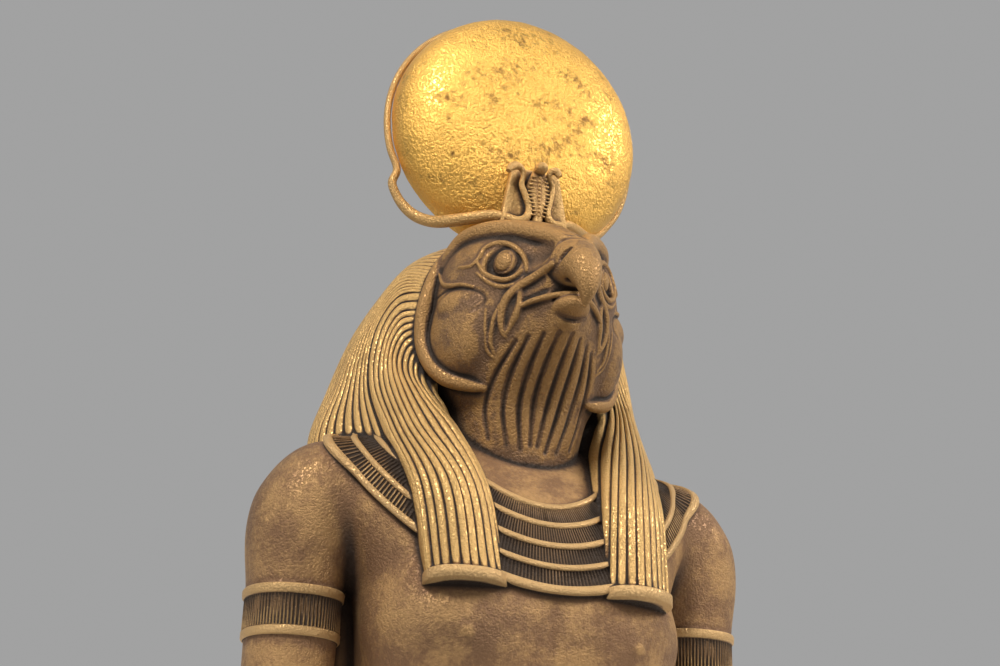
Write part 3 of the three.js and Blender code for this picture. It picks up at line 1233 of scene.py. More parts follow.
@dataclass
class Eye:
    """Bulging eye in a round socket, with its lids."""

    place: Point = (56, -124, 422)
    facing: float = -38.0
    upper_lid: Rows = (
        (89, -80, 427, 1.2), (80, -96, 423, 2.2), (74, -103, 430, 2.6), (69, -105, 441, 2.8),
        (59, -113, 445, 3),
        (50, -124, 441, 3), (43, -135, 430, 2.8), (40, -142, 418, 2.4), (39, -144, 407, 1.6),
    )
    lower_lid: Rows = (
        (76, -104, 424, 1.6), (72, -110, 413, 2.4), (65, -117, 405, 2.8), (56, -127, 400, 2.8),
        (48, -135, 402, 2.4), (42, -140, 408, 1.6),
    )
    under_lid: Rows = (
        (77, -104, 414, 1), (72, -110, 406, 1.8), (64, -118, 397, 2.2), (55, -127, 393, 2.2),
        (46, -136, 395, 1.8),
        (40, -141, 401, 1),
    )

    socket: Point = (8.5, 20, 19)
    ball: Point = (13, 16.5, 16.5)
    ball_depth: float = 10.5
    iris_radius: float = 11.0
    iris_shift: float = 1.5
    iris_groove: float = 1.3
    iris_points: int = 16

    def on_axis(self, depth: float, across: float = 0.0, up: float = 0.0) -> Point:
        """A place behind the eye's middle, and across or up from there.

        Args:
            depth: How far behind.
            across: How far to the side.
            up: How far up.

        Returns:
            The place.
        """
        c, s = math.cos(math.radians(self.facing)), math.sin(math.radians(self.facing))
        x, y, z = self.place
        return (x - depth * c - across * s, y - depth * s + across * c, z + up)

    def model(self, head: "Head", clay: Clay) -> None:
        """Works the eye into the head.

        Args:
            head: The head that it is part of.
            clay: The head's clay.
        """
        clay.cut(Ellipsoid(self.place, self.socket, self.facing), 4)
        clay.add(Ellipsoid(self.on_axis(self.ball_depth), self.ball, self.facing), 1)
        for line, lift in ((self.under_lid, 0.4), (self.upper_lid, 0.6), (self.lower_lid, 0.6)):
            head.raise_line(clay, line, lift, 1.2)
        turns = [math.tau * step / self.iris_points for step in range(self.iris_points + 1)]
        radius, shift = self.iris_radius, self.iris_shift
        iris = [self.on_axis(0, shift - radius * math.cos(t), radius * math.sin(t)) for t in turns]
        clay.cut(Stroke(clay.settle(iris, 0.3), [self.iris_groove] * len(iris), 2), 0.6)


@dataclass
class Head:
    """Falcon's head and neck."""

    voxel: float = 1.25
    kept: float = 0.20
    eye: Eye = field(default_factory=Eye)
    skull: Rows = (
        (-162, 24, 445, 350, 2.1), (-148, 35, 454, 340, 2.1), (-128, 55, 469, 326, 2.2),
        (-105, 76, 484, 312, 2.2), (-80, 90, 495, 301, 2.2), (-50, 97, 503, 294, 2.2),
        (-20, 94, 502, 292, 2.2), (20, 70, 480, 310, 2.1),
    )
    neck: Rows = (
        (170, 0, 62, -64, 40, 2.1), (215, 0, 68, -70, 50, 2.1), (250, 0, 68, -79, 50, 2.1),
        (290, 0, 73, -94, 50, 2.1), (325, 0, 84, -112, 50, 2.1), (365, 0, 88, -124, 50, 2.1),
    )
    beak: Rows = (
        (0, -142, 412, 33), (0, -165, 412, 28), (0, -187, 402, 20), (0, -199, 386, 14),
        (0, -202, 372, 9), (0, -197, 357, 2.7),
    )
    cheek: Ellipsoid = field(default_factory=lambda: Ellipsoid((74, -62, 362), (27, 46, 46), -14))
    lore: Ellipsoid = field(default_factory=lambda: Ellipsoid((36, -156, 424), (9, 20, 14), -38))
    brow: Rows = (
        (90, -38, 436, 6), (86, -46, 452, 7.5), (77, -64, 466, 9), (65, -88, 467, 10),
        (51, -108, 464, 10.5), (38, -124, 459, 10.5), (27, -142, 450, 10), (19, -160, 440, 8),
        (13, -176, 430, 5),
    )
    cheek_line: Rows = (
        (96, -42, 436, 1.2), (97, -50, 424, 2), (95, -60, 414, 2.2), (91, -74, 408, 2.2),
        (87, -88, 405, 2),
        (79, -101, 399, 1.4),
    )
    patch_line: Rows = (
        (98, -42, 404, 1.2), (93, -66, 405, 2), (87, -87, 401, 2.2), (79, -101, 396, 2.2),
        (72, -110, 389, 2.2),
        (70, -112, 381, 2.2), (74, -108, 375, 1.8), (80, -100, 371, 1),
    )
    patch: Ellipsoid = field(default_factory=lambda: Ellipsoid((80, -84, 386), (12, 30, 17), -42))
    rim: Rows = (
        (61, -36, 482, 5), (90, -36, 450, 6.5), (104, -34, 405, 8.5), (106, -32, 365, 8.5),
        (100, -42, 335, 8.5), (87, -56, 316, 8.5), (68, -72, 306, 6.5), (56, -80, 303, 4),
    )
    gape: Rows = (
        (24, -174, 404, 4), (33, -156, 399, 5), (44, -139, 391, 5), (52, -130, 382, 5),
        (55, -125, 372, 4.6), (55, -121, 360, 4.2), (52, -119, 349, 3.4), (49, -120, 343, 1.8),
    )
    gape_front: Rows = ((42, -138, 384, 3), (43, -138, 374, 3.6), (45, -133, 362, 4), (49, -122, 348, 2))
    mouth: Rows = (
        (42, -140, 375, 1.8), (36, -148, 379, 2.8), (27, -160, 382, 3.6), (14, -178, 385, 4.6),
        (0, -186, 386, 6),
    )
    lip: Rows = (
        (43, -138, 370, 2), (36, -147, 373, 2.8), (27, -157, 375, 3), (15, -169, 376, 3),
        (0, -176, 377, 3),
    )
    mandible: Ellipsoid = field(default_factory=lambda: Ellipsoid((0, -154, 367), (20, 31, 12)))
    nostril: Rows = ((23, -186, 405, 2.2), (19, -191, 410, 3.2), (15, -195, 415, 2.2))
    cere_edge: Rows = (
        (30, -170, 406, 1.4), (29, -172, 417, 2.2), (23, -178, 427, 2.6), (13, -184, 432, 2.6),
        (0, -187, 434, 2.6),
    )
    beak_crease: Rows = ((25, -166, 396, 1), (23, -172, 400, 1.4), (20, -186, 402, 1))
    malar: Sequence[Rows] = (
        ((56, -124, 374, 1), (61, -116, 360, 2.4), (60, -108, 342, 2.4), (56, -106, 330, 1)),
        ((68, -112, 372, 1), (66, -108, 352, 2), (62, -103, 334, 1.6), (55, -104, 326, 0.8)),
    )
    folds: Sequence[Rows] = (
        ((6, -150, 348, 1.5), (8, -126, 322, 2.6), (8, -100, 290, 2.6), (4, -84, 250, 1.6)),
        ((18, -142, 346, 1.5), (22, -116, 318, 2.8), (22, -94, 285, 2.6), (14, -80, 246, 1.6)),
        ((30, -132, 344, 1.5), (37, -106, 314, 2.8), (36, -84, 284, 2.4), (26, -72, 250, 1.4)),
        ((40, -124, 340, 1.5), (50, -96, 312, 2.4), (50, -72, 286, 2), (40, -62, 258, 1)),
    )

    def base(self) -> Clay:
        """The bare head, before its features.

        Returns:
            The clay.
        """
        clay = Clay((0, -236, 164), (124, 48, 512), self.voxel)
        clay.add(ForwardForm(self.skull))
        clay.add(UprightForm(self.neck), 22)
        clay.add(drawn(self.beak), 10)
        clay.add(self.cheek, 8)
        return clay

    def raise_line(self, clay: Clay, line: Rows, lift: float, soft: float) -> None:
        """Lays a round cord along a line on the skin."""
        points = clay.settle([row[:3] for row in line], lift)
        clay.add(Stroke(points, [row[3] for row in line]), soft)

    def score_line(self, clay: Clay, line: Rows, lift: float, soft: float) -> None:
        """Cuts a round groove along a line on the skin."""
        points = clay.settle([row[:3] for row in line], lift)
        clay.cut(Stroke(points, [row[3] for row in line]), soft)

    def shape(self) -> Clay:
        """Models the head with all its features.

        Returns:
            The clay.
        """
        clay = self.base()
        clay.cut(self.lore, 6)
        clay.add(drawn(self.brow), 4)
        clay.add(self.patch, 3)
        self.score_line(clay, self.patch_line, 1.0, 1.2)
        self.raise_line(clay, self.cheek_line, 0.2, 1.2)
        self.eye.model(self, clay)
        for fold in self.folds:
            self.score_line(clay, fold, 0.4, 3)
        clay.cut(drawn(self.mouth), 1.5)
        clay.add(self.mandible, 2)
        self.raise_line(clay, self.gape, -1.2, 1.5)
        self.raise_line(clay, self.gape_front, -0.8, 2.5)
        for strip in self.malar:
            self.raise_line(clay, strip, 0.2, 1.5)
        clay.add(drawn(self.lip), 1.5)
        self.score_line(clay, self.cere_edge, 0.6, 1.5)
        self.score_line(clay, self.nostril, -0.5, 1)
        self.score_line(clay, self.beak_crease, 0.3, 0.8)
        clay.add(drawn(self.rim), 2)
        return clay

    def build(self, wardrobe: Wardrobe) -> bpy.types.Object:
        """Makes the head.

        Args:
            wardrobe: The figure's materials.

        Returns:
            The head.
        """
        points, faces = self.shape().skin()
        head = thinned(make_mesh("head", points, faces), self.kept)
        return wardrobe.dress(head, Surface.FACE)


@dataclass
class Wig:
    """Long wig in round strands, hanging in two lappets and a back panel."""

    rows: int = 62
    samples: int = 6
    guides: Sequence[Sequence[Point]] = (
        (
            (-90, -46, 322), (-93, -42, 314), (-88, -42, 304), (-79, -46, 288), (-68, -52, 255),
            (-53, -96, 190), (-49, -127, 96),
        ),
        (
            (-102, -36, 342), (-108, -32, 334), (-108, -40, 315), (-98, -60, 288), (-82, -86, 254),
            (-63, -122, 190), (-52, -143, 100),
        ),
        (
            (-108, -25, 372), (-121, -18, 364), (-128, -20, 342), (-128, -38, 312), (-118, -78, 258),
            (-95, -130, 190), (-86, -153, 101),
        ),
        (
            (-108, -25, 398), (-126, -10, 396), (-139, -4, 366), (-144, -14, 318), (-138, -58, 258),
            (-125, -110, 190), (-116, -135, 100),
        ),
        (
            (-104, -28, 418), (-127, -3, 418), (-145, 12, 380), (-152, 2, 320), (-148, -42, 256),
            (-134, -86, 190), (-121, -114, 97),
        ),
        (
            (-96, -36, 440), (-121, 8, 450), (-153, 40, 390), (-174, 44, 322), (-193, 38, 254),
            (-160, 40, 190), (-120, 50, 150),
        ),
        (
            (-64, -48, 474), (-86, 26, 482), (-128, 72, 420), (-156, 88, 335), (-163, 92, 258),
            (-122, 102, 190), (-95, 106, 118),
        ),
        (
            (0, -48, 492), (0, 25, 507), (0, 82, 462), (0, 110, 360), (0, 116, 262), (0, 114, 190),
            (0, 112, 118),
        ),
    )
    strands: Sequence[int] = (2, 4, 4, 2, 8, 7, 14)
    depth: float = 0.36
    roundness: float = 0.97
    start_share: float = 0.12
    strand_limits: tuple[float, float] = (3, 14)
    inner_edge: Point = (14, 30, 0)

    def sheet(self) -> tuple[Array, Array]:
        """The wig's smooth outside, and the strand that each column belongs to.

        Returns:
            Rows by columns of points, and one strand number for each column.
        """
        near = np.array(self.guides, float)
        curves = np.concatenate([near, near[-2::-1] * (-1, 1, 1)])
        counts = (*self.strands, *self.strands[::-1])
        places, numbers = [], []
        for span, count in enumerate(counts):
            steps = np.arange(count * self.samples) / (count * self.samples)
            places.extend((span + steps) / len(counts))
            numbers.extend(sum(counts[:span]) + steps * count)
        places.append(1.0)
        numbers.append(sum(counts))
        down = curve_weights(curves.shape[1], np.linspace(0, 1, self.rows))
        across = curve_weights(len(curves), np.array(places))
        return np.einsum("rk,cg,gkx->rcx", down, across, curves), np.array(numbers)

    def build(self, wardrobe: Wardrobe, combing: Workshop) -> bpy.types.Object:
        """Makes the wig as one closed solid.

        Args:
            wardrobe: The figure's materials.
            combing: The tree that raises the strands.

        Returns:
            The wig.
        """
        sheet, numbers = self.sheet()
        out = sheet_normals(sheet)
        middle = sheet.shape[1] // 2
        if out[self.rows // 2, middle, 1] < 0:
            out = -out
        width = np.linalg.norm(np.gradient(sheet, axis=1), axis=2) * self.samples
        start = np.clip(np.linspace(0, 1, self.rows) / self.start_share, 0, 1)[:, None]
        relief = self.depth * np.clip(width, *self.strand_limits) * start
        inward, back, _ = self.inner_edge
        inner = [
            edge - np.sign(edge[..., :1]) * (inward, 0, 0) + (0, back, 0)
            for edge in (sheet[:, :1], sheet[:, -1:])
        ]
        rings = np.concatenate([inner[0], sheet, inner[1]], axis=1)
        pad = ((0, 0), (1, 1))
        points, faces = loft(rings)
        wig = closed_piece("wig", points, faces)

        def all_points(values: Array) -> Array:
            """Values of the rings, and of the two middles of the ends."""
            flat = values.reshape(-1, *values.shape[2:])
            return np.concatenate([flat, np.zeros((2, *flat.shape[1:]))])

        strand = np.broadcast_to(numbers, sheet.shape[:2])
        set_values(wig, "strand", all_points(np.pad(strand, pad, mode="edge")))
        set_values(wig, "relief", all_points(np.pad(relief * MM, pad)))
        set_values(wig, "out", all_points(np.pad(out, (*pad, (0, 0)))))
        combing.run(wig, wardrobe.materials[Surface.WIG.value], {"Roundness": self.roundness})
        return wardrobe.dress(wig, Surface.WIG)


@dataclass
class LappetCap:
    """Plain band that closes the bottom of a lappet, tipped up at the front."""

    centre: tuple[float, float] = (85.0, -130.5)
    half_width: float = 38.5
    half_depth: float = 24.0
    turn: float = 9.0
    slope: float = 0.21
    levels: Sequence[tuple[float, float]] = ((91.2, -1.2), (92.0, 0), (101.2, 0), (102.4, -1.6))

    def build(self, wardrobe: Wardrobe, side: int) -> bpy.types.Object:
        """Makes the band of one side.

        Args:
            wardrobe: The figure's materials.
            side: 1 for the figure's left, -1 for its right.

        Returns:
            The band.
        """
        c, s = math.cos(math.radians(self.turn)), math.sin(math.radians(self.turn))
        rings = []
        for level, lift in self.levels:
            flat = oval(self.half_width + lift, self.half_depth + lift, 2.3, 64)
            height = level - flat[:, 1] * self.slope
            turned = flat @ np.array([[c, s], [-s, c]]) + self.centre
            rings.append(np.column_stack([turned * (side, 1), height]))
        cap = closed_piece("lappet cap", *loft(np.array(rings)))
        return wardrobe.dress(cap, Surface.COLLAR)


@dataclass
class Armband:
    """Hatched band with two plain rings round an upper arm."""

    rows: Rows = field(default_factory=lambda: Body().arm)
    bottom: float = 50.0
    top: float = 97.0
    ring: float = 9.0
    ring_lift: float = 3.0
    ground_lift: float = 1.0
    rise: float = 1.6
    sunk: float = -3.0
    sides: int = 72
    rib_count: int = 84
    rib_width: float = 2.0

    def build(self, wardrobe: Wardrobe, side: int) -> bpy.types.Object:
        """Makes the rings and the ground between them, on one arm.

        Args:
            wardrobe: The figure's materials.
            side: 1 for the figure's left arm, -1 for its right.

        Returns:
            The armband.
        """
        half = (
            (0, self.sunk), (0, self.ring_lift - 1), (self.rise, self.ring_lift),
            (self.ring - self.rise, self.ring_lift), (self.ring, self.ring_lift - 1.4),
            (self.ring + 0.6, self.ground_lift),
        )
        lower = [(self.bottom + up, lift) for up, lift in half]
        upper = [(self.top - up, lift) for up, lift in reversed(half)]
        levels, lifts = np.array(lower + upper).T
        rings = upright_rings(self.rows, levels, lifts, self.sides) * (side, 1, 1)
        band = closed_piece("armband", *loft(rings))
        return wardrobe.dress(band, Surface.COLLAR)

    def ribs(self, side: int) -> tuple[Array, Array, Array, Array]:
        """Where the ribs lie on one arm.

        Args:
            side: 1 for the figure's left arm, -1 for its right.

        Returns:
            Middles, directions, outward directions and lengths of the ribs.
        """
        level = (self.bottom + self.top) / 2
        ring = upright_rings(self.rows, np.array([level]), np.array([self.ground_lift]), self.rib_count)[0]
        along = np.roll(ring, -1, axis=0) - np.roll(ring, 1, axis=0)
        out = np.column_stack([along[:, 1], -along[:, 0], np.zeros(len(ring))])
        out /= np.linalg.norm(out, axis=1, keepdims=True)
        lie = np.tile((0.0, 0.0, 1.0), (len(ring), 1))
        length = np.full(len(ring), self.top - self.bottom - 2 * self.ring)
        return ring * (side, 1, 1), lie, out * (side, 1, 1), length


@dataclass
class Collar:
    """Broad collar of hatched rows between plain raised bands."""

    eye: Point = (0, 0, 150)
    inner: Sequence[float] = (97, 120, 185, 270)
    outer: Sequence[float] = (184, 150, 90, 254)
    row_count: int = 4
    pitch: float = 23.5
    band: float = 6.5
    ground: float = 3.4
    relief: float = 6.4
    stations: int = 220
    rib_pitch: float = 2.9
    rib_width: float = 2.3
    last_rib: float = 40.0
    last_band_extra: float = 3.0
    rise: float = 1.1
    sunk: float = -4.0
    cast_reach: float = 0.3
    wig_reach: float = 0.07

    def target(self, angle: Array, share: Array) -> Array:
        """Places on a sloping ring, from the inner edge at 0 to the outer edge at 1.

        Args:
            angle: Angles round the neck, nothing at the front.
            share: Shares of the way from the inner edge to the outer edge.

        Returns:
            One place for each angle.
        """
        a, b, front, side = (
            (1 - share) * start + share * end for start, end in zip(self.inner, self.outer)
        )
        c, s = np.cos(angle), np.sin(angle)
        return np.stack([a * s, -b * c, side - (side - front) * np.abs(c) ** 1.2], axis=-1)

    def on_body(self, body: BVHTree, angle: Array, share: Array) -> tuple[Array, Array]:
        """Places on the body under the collar, and the body's outward direction there.

        Args:
            body: The body's faces, in metres.
            angle: Angles round the neck, nothing at the front.
            share: Shares of the way from the inner edge to the outer edge.

        Returns:
            Points and outward directions.
        """
        targets = self.target(angle, share).reshape(-1, 3)
        eye = np.array(self.eye)
        points, normals = [], []
        for target in targets:
            way = Vector(target - eye).normalized()
            hit, normal, _, _ = body.ray_cast(Vector(eye * MM) + way * self.cast_reach, -way)
            points.append(np.array(hit) / MM)
            normals.append(np.array(normal))
        shape = (*np.shape(angle), 3)
        return np.array(points).reshape(shape), np.array(normals).reshape(shape)

    def width(self) -> float:
        """The collar's width at the front."""
        return self.row_count * self.pitch + self.band

    def profile(self) -> list[tuple[float, float]]:
        """Distances from the inner edge with how far the collar stands out there.

        Returns:
            Pairs of distance and height, from the inner edge outwards.
        """
        high, low = self.relief, self.ground
        steps = [(0.0, self.sunk)]
        for row in range(self.row_count + 1):
            start = row * self.pitch
            wide = self.band + (self.last_band_extra if row == self.row_count else 0.0)
            steps += [
                (start, high - 1.3 if row else high - 2), (start + self.rise, high),
                (start + wide - self.rise, high), (start + wide, high - 1.3),
            ]
            if row < self.row_count:
                steps += [(start + wide + 0.5, low), (start + self.pitch - 0.5, low)]
        return [*steps, (self.width() + self.last_band_extra, self.sunk)]

    def build(self, wardrobe: Wardrobe, body: BVHTree) -> bpy.types.Object:
        """Makes the bands and the ground between them.

        Args:
            wardrobe: The figure's materials.
            body: The body's faces, in metres.

        Returns:
            The collar.
        """
        distances, lifts = np.array(self.profile()).T
        angles = np.linspace(-np.pi, np.pi, self.stations, endpoint=False)
        grid, shares = np.meshgrid(angles, distances / self.width(), indexing="ij")
        points, normals = self.on_body(body, grid, shares)
        for _ in range(3):
            normals = (np.roll(normals, 1, axis=0) + normals + np.roll(normals, -1, axis=0)) / 3
        normals /= np.linalg.norm(normals, axis=2, keepdims=True)
        points = points + normals * lifts[:, None]
        faces = grid_faces(*points.shape[:2], wrap_rows=True, wrap_columns=True)
        collar = closed_piece("collar", points.reshape(-1, 3), faces)
        return wardrobe.dress(collar, Surface.COLLAR)

    def ribs(self, body: BVHTree, wig: BVHTree) -> tuple[Array, Array, Array, Array]:
        """Where the ribs lie that are not hidden by the wig.

        Args:
            body: The body's faces, in metres.
            wig: The wig's faces, in metres.

        Returns:
            Middles, directions, outward directions and lengths of the ribs.
        """
        found = []
        for row in range(self.row_count):
            start, end = row * self.pitch + self.band, (row + 1) * self.pitch
            shares = np.array((start, (start + end) / 2, end)) / self.width()
            reach = 0.5 * (self.inner[0] + self.outer[0])
            count = int(math.tau * reach / self.rib_pitch)
            angles = np.linspace(-np.pi, np.pi, count, endpoint=False)
            grid, spread = np.meshgrid(angles, shares, indexing="ij")
            points, normals = self.on_body(body, grid, spread)
            for place, normal in zip(points, normals):
                middle = place[1] + normal[1] * self.ground
                above = Vector((middle + normal[1] * 2) * MM)
                hidden = wig.ray_cast(above, Vector(normal[1]), self.wig_reach)[0]
                if hidden is None and middle[1] < self.last_rib:
                    lie = place[2] - place[0]
                    length = np.linalg.norm(lie)
                    found.append((*middle, *(lie / length), *normal[1], length))
        table = np.array(found)
        return table[:, :3], table[:, 3:6], table[:, 6:9], table[:, 9]


def rib_bar() -> bpy.types.Object:
    """A small bar one millimetre long and wide, flat below and narrower above.

    Returns:
        The bar.
    """
    section = np.array([(-0.5, -0.5), (0.5, -0.5), (0.28, 0.42), (-0.28, 0.42)])
    ends = [np.column_stack([np.full(4, x), section]) for x in (-0.5, 0.5)]
    faces = np.array([(0, 1, 2, 3), (7, 6, 5, 4), (0, 4, 5, 1), (1, 5, 6, 2), (2, 6, 7, 3), (3, 7, 4, 0)])
    return closed_piece("rib bar", np.concatenate(ends), faces)


def bead() -> bpy.types.Object:
    """A small ball of one millimetre radius.

    Returns:
        The ball.
    """
    turns = np.linspace(0.35, math.pi - 0.35, 4)
    rings = []
    for turn in turns:
        flat = oval(math.sin(turn), math.sin(turn), 2, 8)
        rings.append(np.column_stack([flat, np.full(8, -math.cos(turn))]))
    return closed_piece("bead", *loft(np.array(rings)))


@dataclass
class Details:
    """Repeated small pieces, laid in rows by geometry nodes."""

    tree: Workshop

    def lay(
        self,
        piece: bpy.types.Object,
        places: Sequence[Array],
        width: float,
        material: bpy.types.Material,
    ) -> bpy.types.Object:
        """Lays copies of a piece.

        Args:
            piece: The piece that is repeated; it is removed afterwards.
            places: Middles, directions, outward directions and lengths of the copies.
            width: Width and height of the copies.
            material: Their finish.

        Returns:
            One mesh of all the copies.
        """
        middles, lie, out, reach = places
        base = make_mesh("laid pieces", middles, np.empty((0, 3), int))
        set_values(base, "lie", lie)
        set_values(base, "out", out)
        set_values(base, "reach", reach)
        self.tree.run(base, material, {"Piece": piece, "Width": width})
        dropped(piece)
        return base


@dataclass
class Figure:
    """The whole cast figure, from the flat cut up to the crown."""

    wardrobe: Wardrobe
    details: Details
    combing: Workshop
    cut_reach: float = 400.0
    cut_depth: float = 60.0
    fine_hollows: tuple[float, int] = (1.6, 2)
    deep_hollows: tuple[float, int] = (4.5, 3)

    def faces_of(self, piece: bpy.types.Object) -> BVHTree:
        """The faces of a piece, for finding places on it."""
        return BVHTree.FromObject(piece, bpy.context.evaluated_depsgraph_get())

    def flat_cut(self) -> bpy.types.Object:
        """A block that takes away all below the flat underside.

        Returns:
            The block.
        """
        across = (self.cut_reach, -self.cut_reach)
        corners = [(x, y, z) for x in across for y in across for z in (0.0, -self.cut_depth)]
        return self.wardrobe.dress(closed_piece("cut", np.array(corners), BOX_FACES), Surface.SKIN)

    def build(self) -> bpy.types.Object:
        """Makes every part, and joins them into one skin.

        Returns:
            The figure.
        """
        collar_finish = self.wardrobe.materials[Surface.COLLAR.value]
        figure = Body().build(self.wardrobe)
        body = self.faces_of(figure)
        wig = Wig().build(self.wardrobe, self.combing)
        hidden = self.faces_of(wig)
        collar = Collar()
        parts = [Head().build(self.wardrobe), wig, collar.build(self.wardrobe, body)]
        places = collar.ribs(body, hidden)
        collar_ribs = self.details.lay(rib_bar(), places, collar.rib_width, collar_finish)
        parts.append(self.wardrobe.dress(collar_ribs, Surface.COLLAR))
        for side in (-1, 1):
            armband = Armband()
            parts.append(armband.build(self.wardrobe, side))
            ribs = self.details.lay(rib_bar(), armband.ribs(side), armband.rib_width, collar_finish)
            parts.append(self.wardrobe.dress(ribs, Surface.COLLAR))
            parts.append(LappetCap().build(self.wardrobe, side))
        for part in parts:
            LOG.info("joining %s: %d faces", part.name, len(part.data.polygons))
            combined(figure, part, "UNION")
        combined(figure, self.flat_cut(), "DIFFERENCE")
        figure.name = "gilt_bronze_bust"
        mark_hollows(figure, "hollow", *self.fine_hollows)
        mark_hollows(figure, "recess", *self.deep_hollows)
        return figure


@dataclass
class SunDisc:
    """Domed sun disc, hammered all over."""

    centre: Point = (0, 6, 638)
    radius: float = 143.0
    front: float = 71.0
    back: float = 15.0
    power: float = 2.5
    sides: int = 168
    rings: int = 84
    pole: float = 0.02
    hollows: tuple[float, int] = (1.4, 2)

    def build(self, hammering: Workshop) -> bpy.types.Object:
        """Makes the disc.

        Args:
            hammering: The tree that beats its surface.

        Returns:
            The disc.
        """
        turns = np.linspace(self.pole, math.pi - self.pole, self.rings)
        rings = []
        for turn in turns:
            across = self.radius * math.sin(turn) ** (2 / self.power)
            cosine = math.cos(turn)
            depth = abs(cosine) ** (2 / self.power) * (-self.front if cosine > 0 else self.back)
            circle = oval(across, across, 2, self.sides)
            ring = np.column_stack([circle[:, 0], np.full(self.sides, depth), circle[:, 1]])
            rings.append(ring + self.centre)
        disc = closed_piece("hammered_disc", *loft(np.array(rings)))
        gold = DISC_GOLD.material()
        hammering.run(disc, gold, {
            "Dent size": 0.028,
            "Dent depth": 0.0014,
            "Grain size": 0.006,
            "Grain depth": 0.0005,
            "Seed": 3.0,
        })
        mark_hollows(disc, "hollow", *self.hollows)
        return disc


